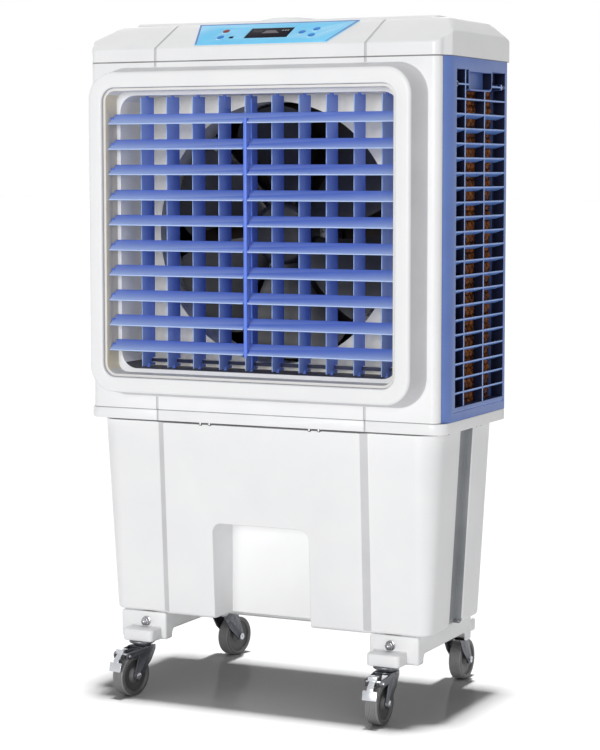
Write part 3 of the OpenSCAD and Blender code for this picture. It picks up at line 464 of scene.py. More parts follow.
# %% Blues, blacks and metals
slat_more = {"dust": 0.02, "edge": (192, 214, 252), "specular_ior_level": 0.3}
vane_more = {"edge": (172, 198, 250), "specular_ior_level": 0.3}
cell_more = {"bump": 0.08, "dust": 0.05, "specular_ior_level": 0.2}
steel_more = {"grain": 600, "bump": 0.06, "wear": 0.5, "metallic": 0.75}
finish("blue_plastic", (109, 141, 237), (102, 133, 230), 0.38, bump=0.04, **slat_more)
# Painted light: the vanes' blue is lifted above the slats', for their shaded sides.
finish("vane_blue", (116, 152, 250), (110, 145, 245), 0.4, bump=0.04, **vane_more)
# Painted shade: a dark navy for the lower tie bar, for the shaded band below the vanes.
finish("bar_navy", (56, 60, 82), (48, 52, 72), 0.5, specular_ior_level=0.2)
finish("grille_blue", (98, 126, 192), (90, 117, 184), 0.4, dust=0.05)
# Painted light on the grilles' front edges and blade undersides, painted shade in their cells.
finish("grille_rim", (146, 176, 236), (136, 166, 228), 0.4, bump=0.04)
finish("grille_blade", (122, 168, 252), (114, 160, 246), 0.45, specular_ior_level=0.3)
finish("grille_cell", (18, 25, 54), (12, 17, 40), 0.6, **cell_more)
finish("black_plastic", (34, 34, 37), (42, 42, 45), 0.4, bump=0.08, dust=0.12)
finish("zinc_plate", (196, 198, 202), (176, 179, 185), 0.26, 500, 0.03, wear=0.2, metallic=1.0)
finish("bolt_chrome", (168, 168, 171), (104, 104, 108), 0.16, 300, 0.04, metallic=1.0)
finish("dark_steel", (86, 88, 94), (66, 68, 75), 0.34, **steel_more)
finish("motor_paint", (78, 80, 84), (70, 72, 76), 0.4, 700, 0.1, dust=0.1, wear=0.3)
finish("wheel_rubber", (92, 92, 93), (78, 78, 79), 0.5, 700, 0.16, dust=0.15)
finish("wheel_tread", (138, 138, 139), (112, 112, 113), 0.55, 500, 0.2, dust=0.15)
finish("wheel_hub", (66, 66, 68), (56, 56, 58), 0.4, bump=0.08, dust=0.12)
print(len(finishes), "finishes with the blues, blacks and metals")

# %% [markdown]
# The control panel is a printed film with a dark display and plastic buttons. One picture of the
# print could cover it all, but separate finishes stay crisp at any distance.

# %% Panel finishes
finish("panel_film", (124, 214, 254), (114, 206, 250), 0.42, 1400, 0.03, specular_ior_level=0.3)
finish("panel_border", (58, 88, 182), (52, 80, 172), 0.3, 1400, 0.03)
finish("panel_print", (236, 246, 252), (226, 238, 248), 0.4)
finish("display_glass", (34, 31, 40), (27, 25, 33), 0.6, bump=0.01, specular_ior_level=0.03)
finish("display_marks", (186, 190, 200), (174, 179, 190), 0.5, specular_ior_level=0.2)
finish("display_dim", (96, 91, 98), (86, 81, 88), 0.5, specular_ior_level=0.2)
finish("button_blue", (28, 132, 216), (22, 120, 206), 0.45, bump=0.03, specular_ior_level=0.25)
finish("button_red", (136, 28, 12), (122, 23, 9), 0.45, bump=0.03, specular_ior_level=0.25)
finish("circuit_board", (24, 92, 52), (20, 80, 46), 0.4)
print(len(finishes), "finishes with the panel's")

# %% [markdown]
# The wet pads are kraft paper soaked in resin: warm brown, blotched, darker where water runs,
# with fibres that stretch along the sheet. A photograph of paper would repeat visibly. Two noises
# do better, one stretched for the fibres and one round for the blotches.

# %% Pad paper
g, shader = principled("pad_paper")
place = g.add("ShaderNodeTexCoord")["Object"]
drawn = g.add("ShaderNodeMapping", {"Vector": place, "Scale": (220, 220, 900)})[0]
fibre = g.noise(1.0, 5.0, drawn)
blotch = g.noise(38.0, 6.0, place)
dry = g.blend(g.ramp(fibre, 0.35, 0.7), srgb(150, 82, 34), srgb(196, 122, 60))
soaked = g.blend(g.ramp(blotch, 0.42, 0.62), dry, srgb(86, 42, 16))
g.put(soaked, shader["Base Color"])
g.put(g.ramp(blotch, 0.3, 0.7, 0.85, 0.55), shader["Roughness"])
g.put(g.relief(0.4, fibre), shader["Normal"])
# Painted shade: a near-black brown for the pads' cores, for the dark inside of the housing.
finish("wet_pad_core", (44, 26, 14), (30, 17, 9), 0.6, 500, 0.3)
print("pad paper ready")

# %% [markdown]
# Making and seating a piece
#
# A hand-made piece starts as plain lists of corners and faces in millimetres: boxes, lathes,
# skins between rings and grids. Blender's own primitives could serve for the simple ones, but
# such lists follow the frame's levels exactly.


# %% Shapes as corners and faces
def combine(*shapes):
    """Several shapes as one."""
    corners, faces, start = [], [], 0
    for some_corners, some_faces in shapes:
        corners.extend(np.asarray(some_corners, float).tolist())
        faces.extend([[start + k for k in face] for face in some_faces])
        start += len(some_corners)
    return corners, faces


def loft(rings, ends="cap"):
    """Skins equal rings of corners. The ends are capped or joined to each other."""
    size, last = len(rings[0]), len(rings) - 1
    pairs = [(a, a + 1) for a in range(last)] + ([(last, 0)] if ends == "join" else [])
    faces = []
    for a, b in pairs:
        for k in range(size):
            n = (k + 1) % size
            faces.append([a * size + k, a * size + n, b * size + n, b * size + k])
    if ends == "cap":
        faces.append(list(range(size))[::-1])
        faces.append([last * size + k for k in range(size)])
    return np.concatenate([np.asarray(ring, float) for ring in rings]), faces


def block(x, y, z):
    """A closed box between pairs of values."""
    ring = [(x[0], y[0]), (x[1], y[0]), (x[1], y[1]), (x[0], y[1])]
    return loft([[(px, py, level) for px, py in ring] for level in z])


def turned(profile, centre, axis, steps=64, ends="cap"):
    """A lathe: (radius, height) points turned about an axis through centre."""
    axis = np.asarray(axis, float) / np.linalg.norm(axis)
    side = np.cross(axis, (0.31, 0.87, 0.4))
    side /= np.linalg.norm(side)
    other = np.cross(axis, side)
    turn = np.linspace(0, 2 * np.pi, steps, endpoint=False)[:, None]
    circle = np.cos(turn) * side + np.sin(turn) * other
    return loft([np.asarray(centre, float) + r * circle + h * axis for r, h in profile], ends)


def arc(centre, radius, start, stop, steps):
    """Points of an arc in a plane, angles in degrees."""
    turn = np.radians(np.linspace(start, stop, steps))
    return list(zip(centre[0] + radius * np.cos(turn), centre[1] + radius * np.sin(turn)))


def grid_faces(rows, cols):
    """Faces of a grid whose corners are listed row after row."""
    firsts = [j * cols + i for j in range(rows - 1) for i in range(cols - 1)]
    return [[a, a + 1, a + 1 + cols, a + cols] for a in firsts]


def grid_border(rows, cols):
    """Corners round the border of such a grid."""
    first, last = list(range(cols)), (rows - 1) * cols
    up, down = [a * cols + cols - 1 for a in range(1, rows)], [a * cols for a in range(rows - 2, 0, -1)]
    return first + up + [last + b for b in range(cols - 2, -1, -1)] + down


print("shapes ready")

# %% [markdown]
# `make` turns such a shape into an object in the frame's metres. Edit mode could do the same by
# hand, but bmesh, which `editing` opens and closes, works on a mesh without any window.


# %% Objects from shapes
def link_mesh(name, mesh):
    """A new object for a mesh, at the origin."""
    made = bpy.data.objects.new(name, mesh)
    scene.collection.objects.link(made)
    return made


@contextmanager
def editing(mesh, *sources):
    """Rewrites a mesh from itself, or from the meshes given."""
    work = bmesh.new()
    for source in sources or (mesh,):
        work.from_mesh(source)
    yield work
    work.to_mesh(mesh)
    work.free()


def make(name, shape, outward=True):
    """An object from (corners in millimetres, faces)."""
    corners, faces = shape
    mesh = bpy.data.meshes.new(name)
    placed = np.asarray(corners, float) * MM + (0, front_y, 0)
    mesh.from_pydata(placed.tolist(), [], [list(map(int, face)) for face in faces])
    if outward:
        with editing(mesh) as work:
            bmesh.ops.recalc_face_normals(work, faces=work.faces)
    return link_mesh(name, mesh)


print("object helpers ready")

# %% [markdown]
# Round edges, walls and holes come from modifiers, which keep a mesh simple until the last step.
# They could stay live, but `settle` freezes each into the mesh, so that it can be painted face by
# face.


# %% Modifiers
def settle(piece):
    """Freezes a piece's modifiers into its mesh."""
    bpy.context.view_layer.update()
    graph = bpy.context.evaluated_depsgraph_get()
    mesh = bpy.data.meshes.new_from_object(piece.evaluated_get(graph))
    piece.modifiers.clear()
    piece.data = mesh
    return piece


def modified(piece, kind, **options):
    """A piece after one modifier."""
    step = piece.modifiers.new(kind.lower(), kind)
    for name, value in options.items():
        setattr(step, name, value)
    return settle(piece)


def soften(piece, width, segments=3, angle=30):
    """Rounds sharp edges by width, in millimetres."""
    return modified(
        piece, "BEVEL", width=width * MM, segments=segments,
        angle_limit=math.radians(angle), use_clamp_overlap=False)


def thicken(piece, wall):
    """Gives a sheet a wall, in millimetres, on its inner side."""
    return modified(piece, "SOLIDIFY", thickness=wall * MM, offset=-1)


def carve(piece, cutter, **options):
    """Cuts a piece with another, which is used up."""
    modified(piece, "BOOLEAN", object=cutter, **options)
    bpy.data.objects.remove(cutter)
    return piece


def smooth(piece, angle=35):
    """Shades curved stretches smoothly and keeps real edges."""
    piece.data.shade_smooth()
    piece.data.set_sharp_from_angle(angle=math.radians(angle))
    return piece


print("modifiers ready")

# %% [markdown]
# `seat` hangs a piece on its body in place of the node that it stands for, and `paint` gives some
# of its faces another finish. Vertex colours could do the painting, but whole faces keep a clean
# line where two finishes meet.


# %% Seat and paint
def seat(piece, body, slot, *stands_for, look=None):
    """Hangs a piece on its body, finished, in place of the nodes that it stands for."""
    if not any(piece.data.materials):
        piece.data.materials.clear()
        piece.data.materials.append(finishes[look or slot])
    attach(piece, body)
    if stands_for:
        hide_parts(*stands_for)
    print(piece.name, len(piece.data.polygons), "faces on", body)
    return piece


def paint(piece, **looks):
    """Gives more finishes to faces, each chosen by middle, in millimetres, and normal."""
    for look, chosen in looks.items():
        piece.data.materials.append(finishes[look])
        count = 0
        for face in piece.data.polygons:
            x, y, z = face.center
            if chosen(x / MM, (y - front_y) / MM, z / MM, face.normal):
                face.material_index = len(piece.data.materials) - 1
                count += 1
        print(piece.name, "has", count, "faces in", look)


print("seat and paint ready")

# %% [markdown]
# Pieces that keep the frame's form
#
# Most moulded and pressed pieces have the right shape already, but their edges are knife sharp. A
# bevel in the shader would leave their outlines sharp. So the node is copied, its loose triangles
# are merged into clean faces and its edges are rounded, which gives the small highlights that
# make plastic and steel believable.


# %% Copy a node with rounded edges
def softened(node, width, look, segments=2, notches=None):
    """Stands for a node: the same form, less any notches, with its edges rounded."""
    mesh = bpy.data.meshes.new(node + "_soft")
    with editing(mesh, nodes[node].data) as work:
        for layer in list(work.loops.layers.uv):
            work.loops.layers.uv.remove(layer)
        bmesh.ops.remove_doubles(work, verts=work.verts, dist=2e-5)
        bmesh.ops.dissolve_limit(work, angle_limit=math.radians(0.6), verts=work.verts, edges=work.edges)
    for spare in [a for a in mesh.attributes if a.name == "custom_normal"]:
        mesh.attributes.remove(spare)
    piece = link_mesh(node + "_soft", mesh)
    if notches:
        carve(piece, notches, use_self=True)
    smooth(soften(piece, width, segments), 40)
    return seat(piece, body_of[node], slot_of[node], node, look=look)


paint(
    softened("mid_frame", 1.4, "white_shell"),
    # painted shade in the grooves
    step_grey=lambda x, y, z, n: abs(abs(x) - GROOVE_X) < 1.4 and y < 3,
    # painted shade: the hooks under the ring are black, for the dark slots they sit in
    black_plastic=lambda x, y, z, n: z < tank_high - 0.8,
)
softened("base_frame", 3.4, "white_shell", segments=3)

# %% [markdown]
# The louvre frame lines the bezel: cheeks, a white step and the air duct behind it. It is one
# moulding, so it stays one piece, and its walls are told apart by where they face and how deep
# they lie. The cheeks and the duct floor take painted shade, and the step's front and the duct's
# side walls painted light.

# %% Louvre frame
STEP_Y = -10
louvre_mid = sum(span("louvre_frame", 2)) / 2


def on_side(n):
    """True for walls that face left or right."""
    return abs(n[2]) <= 0.6 and abs(n[0]) > 0.3


# Painted light on the step's front and the duct's side walls, painted shade on the cheeks and the duct floor.
paint(
    softened("louvre_frame", 0.8, "pale_frame"),
    white_shell=lambda x, y, z, n: n[1] < -0.6 and abs(y - STEP_Y) < 1.5,
    duct_pale=lambda x, y, z, n: on_side(n) and y > STEP_Y + 1,
    cheek_side=lambda x, y, z, n: on_side(n) and y < STEP_Y - 0.5,
    cheek_grey=lambda x, y, z, n: n[2] > 0.6 and y < STEP_Y - 0.5 and z < louvre_mid,
    duct_dark=lambda x, y, z, n: n[2] > 0.6 and y > STEP_Y + 1 and z < louvre_mid,
)

# %% [markdown]
# The two tie bars, the cap-nut bolts and the pressed caster parts need nothing but softer edges
# and their own finish.

# %% Bars, bolts and forks
softened("slat_link", 0.6, "blue_plastic")
# Painted shade: the vane bar is a dark navy.
softened("vane_link", 0.6, "bar_navy")
softened("base_bolts", 0.5, "bolt_chrome")
softened("caster_plates", 0.6, "dark_steel")
for corner in CORNERS:
    softened(corner + "_fork", 0.7, "dark_steel")

# %% [markdown]
# A brake pedal is a pressed lever: a broad plate for the foot, a narrow neck and a small tab that
# lifts it again. It could be drawn anew, but cutting notches in the frame's plate keeps its bend
# and thickness. The notches beside the neck show the dark caps on its pin. They are drawn about
# the pin, with x along it.

# %% Brake pedals
NECK_HALF, TAB_HALF, PEDAL_HALF = 5.7, 8.4, 16
CAP_IN, CAP_OUT = 6.6, 12.6
# Reach of each cut and of the caps, across the pin and upright.
NECK_REACH, TAB_REACH, CAP_REACH = ((-30, -4.9), (-10, 5)), ((-30, 7), (4.9, 14)), ((-10, -4), (-4.5, 2.5))


def both_sides(inner, outer, y, z):
    """Two equal blocks, one on each side of the middle."""
    return [block(sorted((s * inner, s * outer)), y, z) for s in (-1, 1)]


def about_joint(joint, shapes):
    """Moves shapes drawn about a level joint to where it is."""
    corners, faces = combine(*shapes)
    along = np.array([*joint["axis"][:2], 0.0])
    across = np.array([-along[1], along[0], 0.0])
    pin = to_mm(joint["pos_m"])
    return [pin + x * along + y * across + (0, 0, z) for x, y, z in corners], faces


for corner in CORNERS[:2]:
    node = corner + "_pedal"
    joint = joints[corner + "_brake"]
    beside_neck = both_sides(NECK_HALF, PEDAL_HALF, *NECK_REACH)
    beside_tab = both_sides(TAB_HALF, PEDAL_HALF, *TAB_REACH)
    gaps = make(node + "_notches", about_joint(joint, beside_neck + beside_tab))
    softened(node, 0.6, "zinc_plate", notches=gaps)
    pin_ends = both_sides(CAP_IN, CAP_OUT, *CAP_REACH)
    caps = make(node + "_caps", about_joint(joint, pin_ends))
    seat(smooth(soften(caps, 0.9)), node, "black_plastic")

# %% [markdown]
# A grille looks dark between its blades, because little light gets in. So the walls of the cells
# and the tops of the blades get a deep navy as painted shade, with a little dust, the front edges
# of blades and bars a paler blue as painted light along their thin edges, and the frame the plain
# colour. The blades lean inwards: the frame has them already, so their inner corners are only
# lowered. Their undersides catch the light, and a bright blue paints that light on them.

# %% Grilles
BLADE_LEAN, BLADE_DEPTH = 0.36, 17
ABOVE_SEAM, BELOW_SEAM = 26, 76
BLADE_ZONE = seam_low + ABOVE_SEAM, seam_top - BELOW_SEAM


def lean_blades(piece, depth):
    """Lets each blade fall towards its inner edge; bars and border only slide along themselves."""
    for corner in piece.data.vertices:
        x, y, z = corner.co
        behind = depth(x / MM, (y - front_y) / MM) - 1
        if BLADE_ZONE[0] < z / MM < BLADE_ZONE[1] and behind > 0:
            corner.co.z -= min(behind, BLADE_DEPTH) * BLADE_LEAN * MM
    piece.data.update()


def finish_grille(side, depth, across):
    """Softens a grille and finishes it by depth behind its face; across is its level axis."""
    piece = softened(side + "_grille", 0.5, "grille_blue", segments=1)
    lean_blades(piece, depth)
    end = span(side + "_grille", across)[1] - across

    def cell_wall(x, y, n):
        return abs(n[across]) > 0.6 and depth(x, y) > 1.2 and abs((x, y)[across]) <= end

    def on_blade(x, y, z):
        return 1.2 < depth(x, y) < BLADE_DEPTH + 1 and BLADE_ZONE[0] - 8 < z < BLADE_ZONE[1] + 2

    def front_edge(x, y, n):
        return abs(n[2]) + abs(n[across]) < 0.9 and 0.4 < depth(x, y) < 2.6

    paint(
        piece,
        # painted shade in the cells and on the blade tops
        grille_cell=lambda x, y, z, n: cell_wall(x, y, n) or n[2] > 0.6 and on_blade(x, y, z),
        # painted light on the blade undersides
        grille_blade=lambda x, y, z, n: n[2] < -0.6 and on_blade(x, y, z),
        # painted light along the front edges
        grille_rim=lambda x, y, z, n: front_edge(x, y, n),
    )


finish_grille("right", lambda x, y: half_w - x, 1)
finish_grille("left", lambda x, y: half_w + x, 1)
finish_grille("rear", lambda x, y: housing_d - y, 0)

# %% [markdown]
# Pieces that sit inside the housing hardly show, so rounding would be wasted on them. They keep
# their nodes and only take a finish.

# %% Finish the inner pieces
INNER = {
    "fan_shroud": "grey_plastic", "control_board": "circuit_board", "fan_motor": "motor_paint",
    "motor_bracket": "dark_steel", "water_pump": "black_plastic", "water_pipes": "pipe_plastic",
    "swing_motor": "zinc_plate",
}
for node, look in INNER.items():
    nodes[node].data.materials.clear()
    nodes[node].data.materials.append(finishes[look])
print(len(INNER), "inner nodes finished")

# %% [markdown]
# Front panel and bezel
#
# The bezel is a hollow frame that stands out from a thin panel. Its lip has a wide round on the
# outside and a tight one on the inside. A bevelled box would give one radius only, so the bezel
# is skinned from rounded rectangles that follow one section.

# %% Bezel
WALL = 3
MOUTH_R, BEZEL_R = 24, 46
LIP_W, LIP_BACK, DRAFT = 27, 14, 9
INNER_ROUND, OUTER_ROUND = 3, 6
mouth = points_of("louvre_frame")
mouth_half = mouth[:, 0].max() + 0.5
mouth_low, mouth_high = mouth[:, 2].min() - 0.5, mouth[:, 2].max() + 0.5
mouth_half_z = (mouth_high - mouth_low) / 2
bezel_z = (mouth_high + mouth_low) / 2


def mouth_ring(out, y):
    """A rounded rectangle at depth y, grown by out from the mouth of the bezel."""
    r = MOUTH_R + (BEZEL_R - MOUTH_R) * out / LIP_W
    across, upright = mouth_half + out - r, mouth_half_z + out - r
    corners = [(1, -1, -90), (1, 1, 0), (-1, 1, 90), (-1, -1, 180)]
    flat = np.concatenate([arc((sx * across, sz * upright), r, a, a + 90, 13) for sx, sz, a in corners])
    return np.column_stack([flat[:, 0], np.full(len(flat), y), flat[:, 1] + bezel_z])


foot = LIP_W + DRAFT
section = [
    (0, WALL),
    *arc((INNER_ROUND, bezel_front + INNER_ROUND), INNER_ROUND, 180, 270, 6),
    *arc((LIP_W - OUTER_ROUND, bezel_front + OUTER_ROUND), OUTER_ROUND, 270, 356, 9),
    (foot - 1.5, -3), (foot, -1), (foot + 1.5, 0.5), (foot - 2, WALL),
    (LIP_W - 3, bezel_front + LIP_BACK), (WALL, bezel_front + LIP_BACK), (WALL, WALL),
]
bezel = loft([mouth_ring(out, y) for out, y in section], "join")
print("bezel", round(2 * (mouth_half + LIP_W)), "x", round(2 * (mouth_half_z + LIP_W)), "mm")

# %% [markdown]
# The panel is a bent strip with soft upright edges and two shallow grooves. A solid with a hole
# cut in it would do, but a sheet that is given a wall keeps clean faces. Its opening hides under
# the bezel.

# %% Panel behind the bezel
HIDDEN, TURN_IN, OPEN_ROW = 10, 1.2, 2
GROOVE_HALF, GROOVE_FLOOR, GROOVE_D = 2.4, 1.4, 1.6
opening_x, opening_z = mouth_half + HIDDEN, mouth_half_z + HIDDEN
rows = [seam_low, seam_low + TURN_IN, bezel_z - opening_z]
rows += [bezel_z + opening_z, seam_top - TURN_IN, seam_top]
groove = [(-GROOVE_HALF, 0), (-GROOVE_FLOOR, GROOVE_D), (GROOVE_FLOOR, GROOVE_D), (GROOVE_HALF, 0)]
right_half = [(GROOVE_X + dx, dy) for dx, dy in groove] + [(opening_x, 0)]
right_half += arc((panel_half - EDGE_R, EDGE_R), EDGE_R, -90, 0, 11)
plan = [(-x, y) for x, y in right_half[::-1]] + right_half
corners = []
for z in rows:
    inset = TURN_IN if z in (seam_low, seam_top) else 0
    corners += [(x * (1 - inset / panel_half), y + inset, z) for x, y in plan]


def in_opening(face):
    """True for the faces of the sheet that the opening takes out."""
    row, column = divmod(face[0], len(plan))
    return row == OPEN_ROW and abs(plan[column][0] + plan[column + 1][0]) / 2 < opening_x


faces = [face for face in grid_faces(len(rows), len(plan)) if not in_opening(face)]
panel = thicken(make("panel_sheet", (corners, faces), outward=False), WALL)
front_panel = make("front_panel_soft", bezel)
with editing(front_panel.data, front_panel.data, panel.data):
    bpy.data.objects.remove(panel)
seat(smooth(front_panel, 38), "housing", "white_shell", "front_panel")
paint(
    front_panel,
    # painted shade on the bezel's walls
    bezel_wall=lambda x, y, z, n: bezel_front + OUTER_ROUND < y < -0.5,
    # painted shade in the grooves
    step_grey=lambda x, y, z, n: abs(abs(x) - GROOVE_X) < GROOVE_HALF - 0.1 and y > -0.5,
    # painted shade along the seams
    seam_grime=lambda x, y, z, n: z < seam_low + 1.1 or z > seam_top - 1.1,
)

# %% [markdown]
# Top cover
#
# The cover is a shallow lid: an upright lip, a control face that leans back, leaning ends and a
# raised flat middle. Bevels would struggle where these slopes meet. So its top is a height over
# the plan, where each leaning face is a plane and a smooth minimum joins them, and every fold
# comes out softly rounded, as it does from a mould.

# %% Height of the cover over its plan
PLATEAU_H, PLATEAU_R, PLATEAU_RUN = 4, 12, 5
PLATEAU_SIDE, PLATEAU_FRONT, PLATEAU_REAR = 52, 92, 44
SIDE_DROP, SIDE_RUN = 26, 26
REAR_DROP, REAR_RUN = 31, 36
FOLD, RIM = 5, 1.8
cover = points_of("top_cover")
plateau_z = cover[:, 2].max()
top_z = plateau_z - PLATEAU_H
slope_z = cover[cover[:, 1] < 0.5, 2].max()
press = Vector(joints["power_button_press"]["axis"])
normal = press if press.z > 0 else -press
lean = -normal.y / normal.z
plateau_x, plateau_y = half_w - PLATEAU_SIDE, (PLATEAU_FRONT, housing_d - PLATEAU_REAR)
groove_end = plateau_y[0] - 8


def soft_min(a, b, width):
    """The lower of two heights, rounded where they meet."""
    share = np.clip(0.5 + 0.5 * (b - a) / width, 0, 1)
    return b * (1 - share) + a * share - width * share * (1 - share)


def half_width(y):
    """Half width of the plan at a depth: rounded front edge, slanted strip, straight side."""
    round_part = np.sqrt(np.maximum(EDGE_R**2 - (EDGE_R - np.minimum(y, EDGE_R)) ** 2, 0))
    strip = (half_w - panel_half) * np.clip((y - EDGE_R) / (STRIP_Y - EDGE_R), 0, 1)
    return panel_half + np.where(y < EDGE_R, round_part - EDGE_R, strip)


def groove_cut(x):
    """Depth of the two grooves that run on from the panel, over the width."""
    near = np.clip(1 - np.abs(np.abs(x) - GROOVE_X) / GROOVE_HALF, 0, 1)
    return GROOVE_D * np.minimum(2 * near, 1)


def cover_height(x, y):
    """Height of the cover's outside at a plan point."""
    height = soft_min(slope_z + lean * y, np.full_like(y, top_z), FOLD)
    height = soft_min(height, top_z - SIDE_DROP + (half_w - np.abs(x)) * SIDE_DROP / SIDE_RUN, FOLD)
    height = soft_min(height, top_z - REAR_DROP + (housing_d - y) * REAR_DROP / REAR_RUN, FOLD)
    middle_y, half_y = sum(plateau_y) / 2, (plateau_y[1] - plateau_y[0]) / 2
    past_x = np.maximum(np.abs(x) - plateau_x + PLATEAU_R, 0)
    past_y = np.maximum(np.abs(y - middle_y) - half_y + PLATEAU_R, 0)
    step = np.clip(0.5 - (np.hypot(past_x, past_y) - PLATEAU_R) / PLATEAU_RUN, 0, 1)
    height = height + (PLATEAU_H + top_z - np.minimum(height, top_z)) * step * step * (3 - 2 * step)
    height = height - groove_cut(x) * (y < groove_end)
    to_rim = np.minimum(np.minimum(y, housing_d - y), half_width(y) - np.abs(x))
    inside = np.clip(RIM - to_rim, 0, RIM)
    return height - (RIM - np.sqrt(RIM**2 - inside**2))


print("cover leans by", round(math.degrees(math.atan(lean)), 1), "degrees")

# %% [markdown]
# The height is sampled on a grid. An even grid would need far more faces, so this one is close
# only where the cover folds. It is left open under the control panel.

# %% Grid of the cover
CLOSE = [0, 0.2, 0.7, 1.5, 2.5, 4]
FIXED_X = 290
# Columns are close at the grooves, past FIXED_X, over the ends and at the rim.
half_columns = np.concatenate([
    np.linspace(0, 192, 13), [198.5, 199.1, 199.8, 202.2, 202.9, 203.5], np.linspace(208, 284, 9),
    np.linspace(287, 300, 11), np.linspace(303, 338, 15), [half_w - d for d in CLOSE[::-1]],
])
columns = np.concatenate([-half_columns[:0:-1], half_columns])
# Rows are close at the front edge, at the folds of the raised middle and at the rear.
depths = np.concatenate([
    CLOSE, np.linspace(6, 34, 13), np.linspace(38, 78, 8), np.linspace(80, 98, 19),
    np.linspace(103, 238, 11), np.linspace(240, 262, 17), np.linspace(265, 284, 8),
    [housing_d - d for d in CLOSE[::-1]],
])
wide = half_width(depths)[:, None]
stretch = FIXED_X + (np.abs(columns) - FIXED_X) * (wide - FIXED_X) / (half_w - FIXED_X)
grid_x = np.where(np.abs(columns) <= FIXED_X, columns, np.sign(columns) * stretch)
grid_y = depths[:, None] + groove_cut(columns) * np.clip(1 - depths[:, None] / 6, 0, 1)
skin = np.stack([grid_x, grid_y, cover_height(grid_x, grid_y)], axis=-1).reshape(-1, 3)

panel_points = points_of("control_panel")
uphill = Vector((0, normal.z, -normal.y))
panel_s = panel_points @ np.array(uphill)
panel_low, panel_high = panel_s.min(), panel_s.max()
panel_low_half = np.abs(panel_points[panel_s < panel_low + 3, 0]).max()
panel_high_half = np.abs(panel_points[:, 0]).max()


def under_panel(x, y, z, margin=9):
    """True where the control panel covers the sloping face, margin inside its outline."""
    share = ((y * uphill.y + z * uphill.z) - panel_low) / (panel_high - panel_low)
    edge = panel_low_half + (panel_high_half - panel_low_half) * share - margin
    rim_share = margin / (panel_high - panel_low)
    return rim_share < share < 1 - rim_share and abs(x) < edge and y < plateau_y[0] - 6


print("grid of", len(columns), "x", len(depths), "corners")

# %% [markdown]
# The lip closes the cover down to the seam, where it turns in a little, as covers do that sit on
# one another. It hangs from the border of the grid, so no edge is left open between them.

# %% Cover with its lip
grid = grid_faces(len(depths), len(columns))
faces = [face for face in grid if not under_panel(*skin[face].mean(0))]
rim = grid_border(len(depths), len(columns))
edge = skin[rim]
wall_low = edge * (1, 1, 0) + (0, 0, seam_top + TURN_IN)
shrink = np.array([1 - TURN_IN / half_w, 1 - 2 * TURN_IN / housing_d, 0])
turned_in = (edge - (0, housing_d / 2, 0)) * shrink + (0, housing_d / 2, seam_top)
lip_rows = [rim] + [[len(skin) + row * len(rim) + k for k in range(len(rim))] for row in (0, 1)]
for above, below in zip(lip_rows, lip_rows[1:]):
    for k in range(len(rim)):
        n = (k + 1) % len(rim)
        faces.append([above[k], below[k], below[n], above[n]])
sheet = np.concatenate([skin, wall_low, turned_in]), faces
top_cover = thicken(make("top_cover_soft", sheet, outward=False), WALL)
print("cover of", len(top_cover.data.polygons), "faces")

# %% [markdown]
# The lid sits in a round seat over the filler hole. A round edge doesn't fit the grid of the
# cover, so it is drilled out with a boolean.

# %% Filler hole
FILLER_R, SEAT_GAP = 40, 1.6
lid_points = points_of("filler_lid")
lid_mid = (lid_points.min(0) + lid_points.max(0)) / 2
lid_r = (lid_points[:, 0].max() - lid_points[:, 0].min()) / 2
seat_r = lid_r + SEAT_GAP
bit = [(FILLER_R, -30), (FILLER_R, -1), (seat_r, -1), (seat_r, 30)]
carve(top_cover, make("filler_drill", turned(bit, (*lid_mid[:2], plateau_z), (0, 0, 1), 96)))
seat(smooth(top_cover, 32), "housing", "white_shell", "top_cover")
paint(
    top_cover,
    # painted shade in the grooves
    step_grey=lambda x, y, z, n: abs(abs(x) - GROOVE_X) < GROOVE_HALF and y < groove_end,
    # painted shade along the seam
    seam_grime=lambda x, y, z, n: z < seam_top + 1.1,
)

# %% [markdown]
# The filler lid is a shallow dome with a lifted rim and a plug ring below. A cut sphere would
# lack rim and plug, so one section is drawn and turned on a lathe.

# %% Filler lid
PLUG_R, PLUG_L, SKIN_T, LID_RIM = FILLER_R - 0.5, 8, 2.5, 2.2
lid_base = lid_points[:, 2].min() + PLUG_L
dome_h = 0.7 * (lid_points[:, 2].max() - lid_base - LID_RIM)
dome = [(lid_r * math.sin(t), LID_RIM + dome_h * math.cos(t)) for t in np.radians(np.linspace(86, 1, 22))]
section = [
    (PLUG_R - SKIN_T, 0.3), (PLUG_R - SKIN_T, -PLUG_L), (PLUG_R, -PLUG_L), (PLUG_R, 0.3),
    (lid_r - 1.2, 0.3), (lid_r, 1.2), *dome,
]
lid = make("filler_lid_soft", turned(section, (*lid_mid[:2], lid_base), (0, 0, 1), 96))
seat(smooth(lid, 40), "filler_lid", "white_shell", "filler_lid")

# %% [markdown]
# Water tank
#
# The tank narrows downwards, with a raised panel on the front, a foot recess below and an upright
# channel in each side. A tapered box with a boolean for each of them would spoil the corners. Its
# plan at any height is one outline of arcs and straight runs instead.

# %% Plan of the tank
FOOT_R, TAPER, FOOT_ROUND = 24, 20, 7
RAISED_HALF, RAISED_T, RAISED_RUN = 204, 7, 14
CHANNEL_D, CHANNEL_HALF = 14, 30
SIDE_IN, FRONT_IN, REAR_IN = 16, 8, 4
corner_x = half_w - SIDE_IN - TAPER - FOOT_R
corner_y = (FRONT_IN + FOOT_R + TAPER, housing_d - REAR_IN - FOOT_R - TAPER)
channel_y = sum(corner_y) / 2 + 1


def corner_r(z):
    """Radius of the tank's upright corners at a height."""
    return FOOT_R + TAPER * (z - tank_low) / (tank_high - tank_low)


